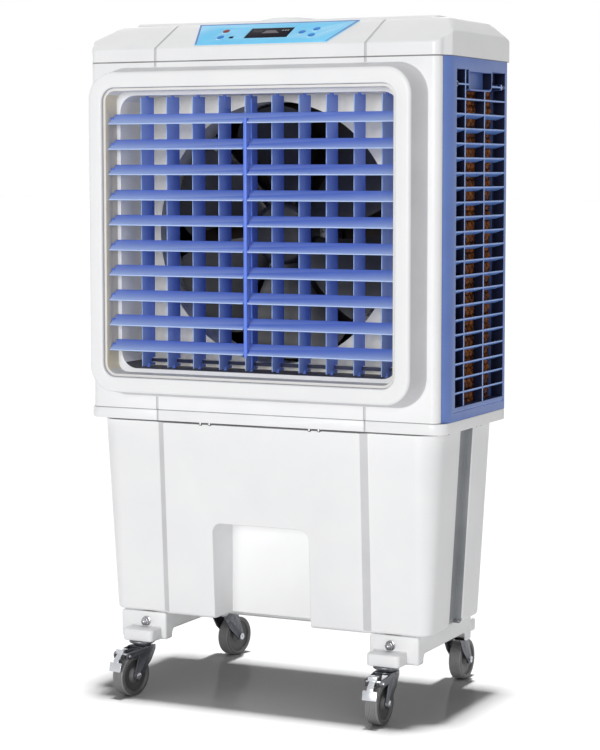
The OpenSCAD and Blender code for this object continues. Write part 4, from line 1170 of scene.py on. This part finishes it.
def tank_ring(z, inset=0.0):
    """Plan of the tank's outside at a height, moved inwards by inset."""
    r = corner_r(z) - inset
    front, side = corner_y[0] - r, corner_x + r
    run = [(RAISED_HALF - RAISED_RUN, front - RAISED_T), (RAISED_HALF, front)]
    run += arc((corner_x, corner_y[0]), r, -90, 0, 11)
    channel = [
        (0, -CHANNEL_HALF - 1.0), (-CHANNEL_D, 1.5 - CHANNEL_HALF),
        (-CHANNEL_D, CHANNEL_HALF - 1.5), (0, CHANNEL_HALF + 1.0),
    ]
    run += [(side + dx, channel_y + dy) for dx, dy in channel]
    run += arc((corner_x, corner_y[1]), r, 0, 90, 11)
    return np.array([(x, y, z) for x, y in run + [(-x, y) for x, y in run[::-1]]])


print("tank corners of", FOOT_R, "to", FOOT_R + TAPER, "mm radius")

# %% [markdown]
# The outline is skinned between a few heights. The recess is cut, because it ends halfway up.
# Then the edges are rounded, the top is opened and the sheet is given its wall.

# %% Tank body
SHADOW_GAP, TANK_WALL = 4, 4
RECESS_X, RECESS_HALF, RECESS_R, RECESS_H, RECESS_D = -4, 94, 18, 173, 62
recess_top = tank_low + RECESS_H
recess_back = corner_y[0] - FOOT_R + RECESS_D
rings = [
    tank_ring(tank_low + FOOT_ROUND * (1 - math.cos(a)), FOOT_ROUND * (1 - math.sin(a)))
    for a in np.radians(np.linspace(0, 90, 6))
]
rings += [tank_ring(tank_high - SHADOW_GAP), tank_ring(tank_high, 3)]
water_tank = make("water_tank_soft", loft(rings))
arch_x, arch_z = RECESS_HALF - RECESS_R, recess_top - RECESS_R
arch = [
    (-RECESS_HALF, tank_low - 20), (RECESS_HALF, tank_low - 20),
    *arc((arch_x, arch_z), RECESS_R, 0, 90, 9), *arc((-arch_x, arch_z), RECESS_R, 90, 180, 9),
]
recess = loft([[(RECESS_X + x, y, z) for x, z in arch] for y in (-60, recess_back)])
carve(water_tank, make("recess_cutter", recess))
soften(water_tank, 2.2, 3, 24)
with editing(water_tank.data) as work:
    top_level = (tank_high - 0.5) * MM
    top = [f for f in work.faces if f.calc_center_median().z > top_level and f.normal.z > 0.9]
    bmesh.ops.delete(work, geom=top, context="FACES")
seat(smooth(thicken(water_tank, TANK_WALL), 30), "housing", "white_shell", "water_tank")

# %% [markdown]
# The channels, the slanted sides of the raised panel and the gap under the ring lie in shadow,
# and the back of the recess catches the light. A stronger lamp from one side would show that too,
# but it would spoil the even white.


# %% Shades of the tank
def in_recess(x, y, z, n):
    """True on the back of the foot recess."""
    inside = z < recess_top and abs(x - RECESS_X) < RECESS_HALF
    return inside and n[1] < -0.6 and abs(y - recess_back) < 5


def in_channel(x, y, z, n):
    """True on the walls and the bottom of an upright channel in the tank's side."""
    return abs(y - channel_y) < CHANNEL_HALF + 1 and corner_x < abs(x) < corner_x + corner_r(z) - 2


def on_step(x, y, z, n):
    """True on the slanted sides of the raised front panel."""
    half_run = RAISED_RUN / 2
    return abs(abs(x) - RAISED_HALF + half_run) < half_run - 1 and y < corner_y[0] and z > tank_low + 5


paint(
    # painted light on the back of the recess, painted shade in the channels and on the slanted sides
    water_tank, recess_white=in_recess, channel_grey=in_channel, step_grey=on_step,
    # painted shadow in the gap under the ring
    gap_dark=lambda x, y, z, n: z > tank_high - SHADOW_GAP + 0.6,
)

# %% [markdown]
# Slats and vanes
#
# Ten level slats and ten upright vanes are the same thing: a tapered blade with a rounded nose, a
# notch bridged by the pin of its tie bar, and a pin at each end. Twenty meshes could be drawn,
# but one Geometry Nodes tree makes them all. It also stores how near a point is to the nose,
# which the finish uses to make the thin edge pale, as light leaks through it on the real blade.

# %% Blade tree
g, inlet, outlet = new_group(
    "louvre_blade", "GeometryNodeTree",
    {
        "Length": 0.5, "Chord": 0.03, "Nose": 0.003, "Tail": 0.0015, "Notch at": 0.0,
        "Notch width": 0.008, "Notch side": 1.0, "Notch depth": 0.01, "Pin at": 0.012,
        "Pin radius": 0.0016, "End pin radius": 0.003, "End pin reach": 0.004, "Spine": 0.0005,
        "Turn": (0, 0, 0), "Pivot": (0, 0, 0), "Finish": "Material",
    },
    {"Blade": "Geometry"},
)
half_length, half_chord = g.times(inlet["Length"], 0.5), g.times(inlet["Chord"], 0.5)
ends_at = {"Start": g.vector(g.times(half_length, -1.0)), "End": g.vector(half_length)}
outline = g.geo("CurvePrimitiveQuadrilateral", {
    "Height": inlet["Chord"], "Bottom Width": inlet["Nose"], "Top Width": inlet["Tail"], "Offset": 0.0,
}, mode="TRAPEZOID")
rounded = g.geo("FilletCurve", {
    "Curve": outline, "Count": 5, "Radius": g.times(inlet["Tail"], 0.48), "Limit Radius": True,
}, mode="POLY")
swept = g.geo("CurveToMesh", {
    "Curve": g.geo("CurvePrimitiveLine", ends_at), "Profile Curve": rounded, "Fill Caps": True,
})
flat_blade = g.moved(swept, turn=(math.radians(-90), 0, 0))
notch_size = g.vector(inlet["Notch width"], g.times(inlet["Notch depth"], 2.0), 0.02)
notch_mid = g.vector(inlet["Notch at"], g.times(inlet["Notch side"], half_chord))
notch = g.moved(g.geo("MeshCube", {"Size": notch_size}), notch_mid)
cut_blade = g.geo("MeshBoolean", {"Mesh 1": flat_blade, "Mesh 2": notch}, operation="DIFFERENCE")
from_nose = g.plus(g.parts(g.geo("InputPosition"))["Y"], half_chord)
marked = g.geo("StoreNamedAttribute", {
    "Geometry": cut_blade, "Name": "edge", "Value": g.ramp(from_nose, 0.0004, 0.0022, 1.0, 0.0),
}, data_type="FLOAT", domain="POINT")
print("blade body of", len(g.tree.nodes), "nodes")

# %% [markdown]
# The pins are plain cylinders laid sideways. They could be cut from the blade's own mesh, but
# joined shapes are simpler and hide their ends inside the blade.

# %% Pins of a blade
PIN_ROOT = 0.004
sideways = (0, math.radians(90), 0)
link_pin = g.cylinder(16, inlet["Pin radius"], g.plus(inlet["Notch width"], 0.002))
link_pin = g.moved(link_pin, g.vector(inlet["Notch at"], inlet["Pin at"]), sideways)
end_pin = g.cylinder(24, inlet["End pin radius"], g.plus(inlet["End pin reach"], PIN_ROOT))
pin_mid = g.plus(half_length, g.times(g.minus(inlet["End pin reach"], PIN_ROOT), 0.5))
pins = [g.moved(end_pin, g.vector(at), sideways) for at in (pin_mid, g.times(pin_mid, -1.0))]
spine = g.moved(g.cylinder(24, inlet["Spine"], inlet["Length"]), turn=sideways)
whole = g.geo("JoinGeometry", {0: [marked, link_pin, spine, *pins]})
g.hand_out(g.moved(whole, inlet["Pivot"], inlet["Turn"]), inlet["Finish"], outlet["Blade"])
louvre_blade = g.tree
print("blade tree of", len(louvre_blade.nodes), "nodes")

# %% [markdown]
# Each blade is grown at the pivot of its own joint, so that it turns about its pins. Only the
# driven vane has a thick spine, where the swing motor takes hold.


# %% Slats and vanes
def grow(name, tree, values, mesh=None):
    """Runs a Geometry Nodes tree and keeps its result as a plain mesh."""
    piece = link_mesh(name, mesh or bpy.data.meshes.new(name))
    run = piece.modifiers.new(tree.name, "NODES")
    run.node_group = tree
    for socket in tree.interface.items_tree:
        if socket.in_out == "INPUT" and socket.name in values:
            run[socket.identifier] = values[socket.name]
    return settle(piece)


SLAT_TILT = math.radians(30)
DRIVEN, DRIVEN_SPINE = "vane_05", 0.003
bar_low, bar_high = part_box("vane_link")
SLAT = {
    "Length": 0.545, "Chord": 0.033, "Nose": 0.0034, "Tail": 0.0018,
    "Notch at": -0.004, "Notch width": 0.009, "Notch side": -1.0, "Notch depth": 0.0125,
    "Pin at": -0.012, "Pin radius": 0.0016, "End pin radius": 0.003, "End pin reach": 0.006,
    "Turn": (SLAT_TILT, 0, 0), "Finish": finishes["blue_plastic"],
}
VANE = {
    "Length": 0.475, "Chord": 0.045, "Nose": 0.0032, "Tail": 0.0016,
    "Notch at": bezel_z * MM - (bar_low.z + bar_high.z) / 2, "Notch width": 0.009, "Notch side": 1.0,
    "Notch depth": 0.0135, "Pin at": 0.015, "Pin radius": 0.0012, "End pin radius": 0.003,
    # a blue lifted as painted light
    "End pin reach": 0.0055, "Turn": sideways, "Finish": finishes["vane_blue"],
}
for kind, motion, values in (("slat", "tilt", SLAT), ("vane", "swing", VANE)):
    for number in range(1, 11):
        node = f"{kind}_{number:02d}"
        pivot = Vector(joints[f"{node}_{motion}"]["pos_m"])
        at = (0, pivot.y, pivot.z) if kind == "slat" else (pivot.x, pivot.y, bezel_z * MM)
        own = {"Spine": DRIVEN_SPINE} if node == DRIVEN else {}
        blade = grow(node + "_blade", louvre_blade, {**values, **own, "Pivot": at})
        seat(smooth(blade, 40), node, "blue_plastic", node)

# %% [markdown]
# Wet pads
#
# A pad is a block of waved paper sheets that stand side by side, each waving against its
# neighbours, so their edges make rows of almond-shaped cells. A bump would look flat through the
# grille, so the sheets are real. The tree makes one thin sheet, sets copies along the pad, and
# then waves all of them with the phase turned over on every second one.

# %% Pad tree
SHEET_T = 0.0007
g, inlet, outlet = new_group(
    "fluted_pad", "GeometryNodeTree",
    {
        "Width": 0.2, "Height": 0.6, "Depth": 0.014, "Pitch": 0.008, "Wave": 0.018, "Rows": 200,
        "Turn": (0, 0, 0), "Middle": (0, 0, 0), "Finish": "Material",
    },
    {"Pad": "Geometry"},
)
count = g.math("FLOOR", g.over(inlet["Width"], inlet["Pitch"]))
sheet = g.geo("MeshCube", {
    "Size": g.vector(SHEET_T, inlet["Depth"], inlet["Height"]),
    "Vertices X": 2, "Vertices Y": 3, "Vertices Z": inlet["Rows"],
})
first = g.times(g.times(g.minus(count, 1.0), inlet["Pitch"]), -0.5)
spots = g.geo("MeshLine", {
    "Count": count, "Start Location": g.vector(first), "Offset": g.vector(inlet["Pitch"]),
})
stack = g.geo("InstanceOnPoints", {"Points": spots, "Instance": sheet})
stack = g.geo("RealizeInstances", {"Geometry": stack})
where = g.parts(g.geo("InputPosition"))
order = g.math("ROUND", g.over(g.plus(where["X"], 1.0), inlet["Pitch"]))
odd = g.minus(g.times(g.math("MODULO", order, 2.0), 2.0), 1.0)
climb = g.over(g.plus(where["Z"], g.times(where["Y"], odd)), inlet["Wave"])
swing = g.math("SINE", g.times(climb, 2 * math.pi))
sway = g.times(g.times(swing, odd), g.times(inlet["Pitch"], 0.46))
stack = g.geo("SetPosition", {"Geometry": stack, "Offset": g.vector(sway)})
g.hand_out(g.moved(stack, inlet["Middle"], inlet["Turn"]), inlet["Finish"], outlet["Pad"])
fluted_pad = g.tree
print("pad tree of", len(fluted_pad.nodes), "nodes")

# %% [markdown]
# The sheets fill only the outer layer of each pad, because nothing behind it can be seen. A plain
# dark block stands for the rest and saves many faces. Its near-black brown is painted shade, for
# the dark inside of the housing behind the fan.

# %% Three pads
PAD_T, FLUTE_D, PITCH, WAVE, ROWS_A_WAVE = 36, 14, 9, 18, 8
pads = points_of("cooling_pads")
_, pad_front, pad_low = pads.min(0)
pad_out, pad_back, pad_top = pads.max(0)
side_mid, side_w = (pad_front + pad_back) / 2, pad_back - pad_front
flute_x = pad_out - FLUTE_D / 2
inner = pad_out - PAD_T
# Each pad: middle across, middle in depth, width, and turn in degrees.
STANDS = {
    "right": (flute_x, side_mid, side_w, 90),
    "left": (-flute_x, side_mid, side_w, -90),
    "rear": (0, pad_back - FLUTE_D / 2, 2 * inner - 2, 0),
}
for name, (x, y, width, turn) in STANDS.items():
    pad = grow(name + "_pad_sheets", fluted_pad, {
        "Width": (width - 4) * MM, "Height": (pad_top - pad_low - 2) * MM, "Depth": FLUTE_D * MM,
        "Pitch": PITCH * MM, "Wave": WAVE * MM, "Rows": int((pad_top - pad_low) / WAVE * ROWS_A_WAVE),
        "Turn": (0, 0, math.radians(turn)), "Finish": finishes["pad_paper"],
        "Middle": (x * MM, front_y + y * MM, (pad_low + pad_top) / 2 * MM),
    })
    seat(smooth(pad, 60), "housing", "pad_paper")
deep, tall = (pad_front, pad_back), (pad_low, pad_top)
core = make("pad_cores", combine(
    block((inner, pad_out - FLUTE_D), deep, tall),
    block((FLUTE_D - pad_out, -inner), deep, tall),
    block((1 - inner, inner - 1), (pad_back - PAD_T, pad_back - FLUTE_D), tall),
))
seat(smooth(soften(core, 1.5, 2)), "housing", "pad_paper", "cooling_pads", look="wet_pad_core")

# %% [markdown]
# Fan
#
# Six wide blades twist round a cup-shaped hub. A bent plane could pass for one, but here each
# blade is a sheet over radius and angle: the pitch flattens towards the tip, the middle is
# cambered, and the tip corners are drawn in. The formulas are the frame's own, on a finer grid,
# so the surface is smooth.

# %% Fan blades
HUB_R, HUB_L = 56, 48
BLADES, BLADE_SPAN, BLADE_T, TIP_R = 6, 24, 3, 223
ROOT_PITCH, PITCH_LOSS, TIP_SWEEP, CAMBER, FLATTEN = 36, 16, 10, 5, 0.62
ROOT_SHARE, WIDENS, TIP_IN, EDGE_THIN = 0.95, 0.1, 0.1, 0.75
GRID = 22
fan = points_of("fan")
fan_z = Vector(joints["fan_spin"]["pos_m"]).z / MM
hub_front = fan[np.hypot(fan[:, 0], fan[:, 2] - fan_z) < HUB_R - 14, 1].min()
fan_y = hub_front + HUB_L / 2


def blade_sheet(turn_by):
    """One blade as a closed sheet of BLADE_T thickness, turned about the shaft."""
    i, j = np.meshgrid(np.linspace(0, 1, GRID), np.linspace(-1, 1, GRID), indexing="ij")
    root = HUB_R - 4
    r = root + (TIP_R * (1 - TIP_IN * np.abs(j) ** 3) - root) * i
    share = (r - root) / (TIP_R - root)
    here = j * BLADE_SPAN * (ROOT_SHARE + WIDENS * share)
    angle = np.radians(here - TIP_SWEEP * share**2 + turn_by)
    pitch = np.radians(ROOT_PITCH - PITCH_LOSS * share)
    rise = -np.tan(pitch) * r * np.radians(here) * FLATTEN - CAMBER * (1 - j**2)
    thin = BLADE_T / 2 * (1 - EDGE_THIN * np.maximum(np.abs(j), i) ** 8)
    x, z = r * np.sin(angle), fan_z + r * np.cos(angle)
    layers = [np.stack([x, fan_y + rise + s * thin, z], -1).reshape(-1, 3) for s in (-1, 1)]
    faces, size = [], GRID * GRID
    for a, b, c, d in grid_faces(GRID, GRID):
        faces += [[a, b, c, d], [size + a, size + d, size + c, size + b]]
    border = grid_border(GRID, GRID)
    for one, after in zip(border, border[1:] + border[:1]):
        faces.append([one, size + one, size + after, after])
    return np.concatenate(layers), faces


print(BLADES, "blades to a radius of", TIP_R, "mm")

# %% [markdown]
# The hub is a cup with a rounded nose and a boss for the shaft, so it is turned. Blades and hub
# are one moulding on the real fan, and one piece here.

# %% Hub and rotor
HUB_WALL, NOSE_R, SHAFT_R, BOSS_R = 5, 12, 6, 13
front, back, shaft_end = -HUB_L / 2, HUB_L / 2, fan[:, 1].max() - fan_y
floor_h = front + 10
section = [
    (2, front), *arc((HUB_R - NOSE_R, NOSE_R + front), NOSE_R, -90, 0, 9), (HUB_R, back),
    (HUB_R - HUB_WALL, back), (HUB_R - HUB_WALL, floor_h), (BOSS_R, floor_h), (BOSS_R, back),
    (SHAFT_R, back), (SHAFT_R, shaft_end), (0.5, shaft_end),
]
hub = turned(section, (0, fan_y, fan_z), (0, 1, 0), 72)
rotor = make("fan_rotor", combine(*[blade_sheet(k * 360 / BLADES) for k in range(BLADES)], hub))
seat(smooth(rotor, 40), "fan", "black_plastic", "fan")

# %% [markdown]
# Casters
#
# A caster wheel is a turned part: a tyre with fine grooves round its tread, a sunk side and a hub
# that reaches the fork's legs. Painted grooves would vanish along the tyre's outline, so they are
# part of the section. The lathe gives the rubber and the hub in one, and the hub's faces take
# their own finish.

# %% Wheels
WHEEL_R, WHEEL_HALF, HUB_HALF, AXLE_R, SHOULDER_R = 37.3, 12, 13.3, 4.1, 3.4
TREAD_D, GROOVES = 0.8, 6
tread = []
for k in range(GROOVES):
    at = -7.5 + 3 * k
    tread += [(WHEEL_R, at - 1.0), (WHEEL_R, at - 0.45), (WHEEL_R - TREAD_D, at - 0.3)]
    tread += [(WHEEL_R - TREAD_D, at + 0.3), (WHEEL_R, at + 0.45)]
upper = [
    *arc((WHEEL_R - SHOULDER_R, WHEEL_HALF - SHOULDER_R), SHOULDER_R, 0, 90, 6),
    (29.5, WHEEL_HALF), (28.6, WHEEL_HALF - 0.8), (27.4, WHEEL_HALF - 3.2), (15, WHEEL_HALF - 3.6),
    (12.4, WHEEL_HALF - 2.2), (10.4, HUB_HALF - 0.4), (9.6, HUB_HALF), (AXLE_R, HUB_HALF),
]
section = [(r, -h) for r, h in upper[::-1]] + tread + upper
for corner in CORNERS:
    node = corner + "_wheel"
    hinge = joints[corner + "_roll"]
    centre, axis = Vector(to_mm(hinge["pos_m"])), Vector(hinge["axis"]).normalized()

    def radius(*point):
        """Distance of a point from the axle."""
        away = Vector(point) - centre
        return (away - axis * away.dot(axis)).length

    lathed = turned(section, to_mm(hinge["pos_m"]), hinge["axis"], 96, "join")
    wheel = seat(smooth(make(node + "_turned", lathed), 30), node, "wheel_rubber", node)
    paint(
        wheel,
        wheel_hub=lambda x, y, z, n: 14 < radius(x, y, z) < 28,
        wheel_tread=lambda x, y, z, n: radius(x, y, z) > WHEEL_R - 2 * TREAD_D,
    )

# %% [markdown]
# Nuts hold the axles, and small round heads hold the grilles. They repeat, so a tree sets copies
# of one hexagon, or of one round head with a cross cut, on a handful of points, each turned to
# face along the direction that its point carries.

# %% Fastener tree
SLOT_W = 0.0007
g, inlet, outlet = new_group(
    "fasteners", "GeometryNodeTree",
    {
        "Points": "Geometry", "Sides": 6, "Radius": 0.006, "Height": 0.004, "Cross": 0.0,
        "Finish": "Material",
    },
    {"Fasteners": "Geometry"},
)


def heights(share):
    """A point above the origin at a share of the head's height."""
    return g.vector(0.0, 0.0, g.times(inlet["Height"], share))


crown = g.geo("MeshCone", {
    "Vertices": inlet["Sides"], "Radius Bottom": g.times(inlet["Radius"], 0.86),
    "Radius Top": g.times(inlet["Radius"], 0.6), "Depth": g.times(inlet["Height"], 0.3),
})
plain = g.cylinder(inlet["Sides"], inlet["Radius"], inlet["Height"])
head = g.geo("JoinGeometry", {0: [plain, g.moved(crown, heights(0.5))]})
slots = [
    g.moved(g.geo("MeshCube", {"Size": g.vector(*size, inlet["Height"])}), heights(0.75))
    for size in ((inlet["Cross"], SLOT_W), (SLOT_W, inlet["Cross"]))
]
head = g.geo("MeshBoolean", {"Mesh 1": head, "Mesh 2": slots}, operation="DIFFERENCE")
facing = g.geo("InputNamedAttribute", {"Name": "facing"}, data_type="FLOAT_VECTOR")
aim = g.add("FunctionNodeAlignRotationToVector", {"Vector": facing}, axis="Z")[0]
heads = g.geo("InstanceOnPoints", {"Points": inlet["Points"], "Instance": head, "Rotation": aim})
g.hand_out(heads, inlet["Finish"], outlet["Fasteners"])
fasteners = g.tree
print("fastener tree of", len(fasteners.nodes), "nodes")

# %% [markdown]
# The nuts sit outside the fork's legs and ride with the fork. A mesh of two points, each with its
# direction, is all that the tree needs.


# %% Axle nuts
def fasten(name, places, look, **values):
    """Fasteners at (point, facing) pairs in metres."""
    mesh = bpy.data.meshes.new(name)
    mesh.from_pydata([tuple(point) for point, _ in places], [], [])
    facing = mesh.attributes.new("facing", "FLOAT_VECTOR", "POINT")
    facing.data.foreach_set("vector", np.array([tuple(way) for _, way in places], np.float32).ravel())
    values["Finish"] = finishes[look]
    return smooth(grow(name, fasteners, values, mesh), 30)


NUT_OUT = 18.2
NUT = {"Sides": 6, "Radius": 0.0066, "Height": 0.0028, "Cross": 0.0}
for corner in CORNERS:
    hinge = joints[corner + "_roll"]
    axis, hub_at = Vector(hinge["axis"]), Vector(hinge["pos_m"])
    places = [(hub_at + axis * side * NUT_OUT * MM, axis * side) for side in (-1, 1)]
    nuts = fasten(corner + "_axle_nuts", places, "zinc_plate", **NUT)
    seat(nuts, corner + "_fork", "zinc_plate")

# %% [markdown]
# The screws sit on the bosses in the upper corners of the grilles. Their places follow the border
# and the blades, as the bosses do.

# %% Grille screws
SCREW = {"Sides": 20, "Radius": 0.0034, "Height": 0.0012, "Cross": 0.0036}
BORDER_W, BOSS, GRILLE_BLADES = 20, 5, 22
blade_low, blade_high = seam_low + BORDER_W + 3, seam_top - BORDER_W
screw_z = (blade_low + GRILLE_BLADES * (blade_high - blade_low) / (GRILLE_BLADES + 1)) * MM
from_edge = BORDER_W + BOSS
side_y = [front_y + d * MM for d in (STRIP_Y + from_edge, housing_d - from_edge)]
side_x, rear_x = (half_w - 1) * MM, (span("rear_grille", 0)[1] - from_edge) * MM
rear_y = front_y + (housing_d - 1) * MM
places = [(Vector((s * side_x, y, screw_z)), Vector((s, 0, 0))) for s in (-1, 1) for y in side_y]
places += [(Vector((s * rear_x, rear_y, screw_z)), Vector((0, 1, 0))) for s in (-1, 1)]
seat(fasten("grille_screws", places, "black_plastic", **SCREW), "housing", "black_plastic")

# %% [markdown]
# Control panel
#
# A printed film in pale blue covers the sloping face, with a darker border. A picture of the
# print could be laid on the slope, but thin slabs need no picture and stay sharp. They are drawn
# on the slope: x runs across, s runs uphill, and the height is measured off the face.

# %% Film and its border
FILM_TOP, GLASS_TOP = 1.5, 1.9
FILM_HALF_S, LOW_HALF, HIGH_HALF = 42, 127, 155
BORDER, BORDER_S, MARGIN = 4.2, 3.4, 0.8
slope_mid = (panel_points.min(0) + panel_points.max(0)) / 2 * (0, 1, 1)


def slab(outline, low, high):
    """A flat slab on the slope with the given (x, s) outline, counted from the panel's middle."""
    across, up, off = np.array((1, 0, 0)), np.array(uphill), np.array(normal)
    return loft([[slope_mid + x * across + s * up + h * off for x, s in outline] for h in (low, high)])


softened("control_panel", 0.5, "panel_film")
low_s, high_s = MARGIN - FILM_HALF_S, FILM_HALF_S - MARGIN
outer_low, outer_high, inner_low, inner_high = (
    half - inset for inset in (MARGIN, BORDER) for half in (LOW_HALF, HIGH_HALF))
under_s = FILM_HALF_S - BORDER_S
top_edge = [(-inner_high, under_s), (inner_high, under_s), (outer_high, high_s), (-outer_high, high_s)]
strips = [slab(top_edge, FILM_TOP - 0.2, FILM_TOP + 0.15)]
for side in (-1, 1):
    run = [(inner_low, low_s), (outer_low, low_s), (outer_high, high_s), (inner_high, high_s)]
    strips.append(slab([(side * x, s) for x, s in run], FILM_TOP - 0.2, FILM_TOP + 0.14))
seat(make("panel_border", combine(*strips)), "housing", "panel_film", look="panel_border")

# %% [markdown]
# The display is dark, with a dim grey field in its middle, small dim marks on its left and three
# brighter ones on its right. They are plain shapes, because no figures can be made out.

# %% Display
softened("display_window", 0.25, "display_glass")


def stroke(x0, s0, x1, s1, width):
    """A straight printed bar between two points of the slope."""
    along = np.array([x1 - x0, s1 - s0])
    along = along / np.linalg.norm(along)
    across = np.array([-along[1], along[0]]) * width / 2
    start, stop = np.array([x0, s0]) + along * width * 0.3, np.array([x1, s1]) - along * width * 0.3
    outline = [start - across, stop - across, stop + across, start + across]
    return slab(outline, GLASS_TOP - 0.1, GLASS_TOP + 0.08)


lit = [stroke(22 + 5 * k, 5.5, 25 + 5 * k, 9.5, 2.2) for k in range(3)]
dim = [slab([(-14, -3), (20, -3), (9, 8.5), (-8, 8.5)], GLASS_TOP - 0.1, GLASS_TOP + 0.05)]
dim += [stroke(4.2 * k - 32, s, 4.2 * k - 29.4, s, 1.8) for k in range(4) for s in (4, 8)]
seat(make("display_marks", combine(*lit)), "housing", "display_glass", look="display_marks")
seat(make("display_shade", combine(*dim)), "housing", "display_glass", look="display_dim")

# %% [markdown]
# The buttons are domed caps with a wider ring below, which keeps them from falling out through
# the film. One section on the lathe serves all five, and each takes the place of its node. A
# white dash is printed below each.

# %% Buttons and their marks
RING_R, CAP_R, CAP_H, DOME_H = 8.4, 6.45, 2.4, 1.5
MARK_HALF, MARK_LOW, MARK_HIGH = 4, -11.5, -10.3
marks = []
for name in ("power", "swing", "pump", "speed", "timer"):
    node = name + "_button"
    corners = points_of(node)
    middle = (corners.min(0) + corners.max(0)) / 2
    foot = ((corners - middle) @ np.array(normal)).min() + 0.1
    cap = [(RING_R, foot), (RING_R, foot + 2.4), (CAP_R, foot + 2.6), (CAP_R, CAP_H)]
    dome = np.radians(np.linspace(10, 86, 9))
    cap += [(CAP_R * math.cos(t), CAP_H + DOME_H * math.sin(t)) for t in dome]
    button = make(node + "_cap", turned(cap, middle, normal, 40))
    seat(smooth(button, 40), node, "button_red" if name == "power" else "button_blue", node)
    x, s = middle[0], (middle - slope_mid) @ np.array(uphill)
    left, right, low, high = x - MARK_HALF, x + MARK_HALF, s + MARK_LOW, s + MARK_HIGH
    mark = [(left, low), (right, low), (right, high), (left, high)]
    marks.append(slab(mark, FILM_TOP - 0.2, FILM_TOP + 0.1))
seat(make("panel_marks", combine(*marks)), "housing", "panel_film", look="panel_print")
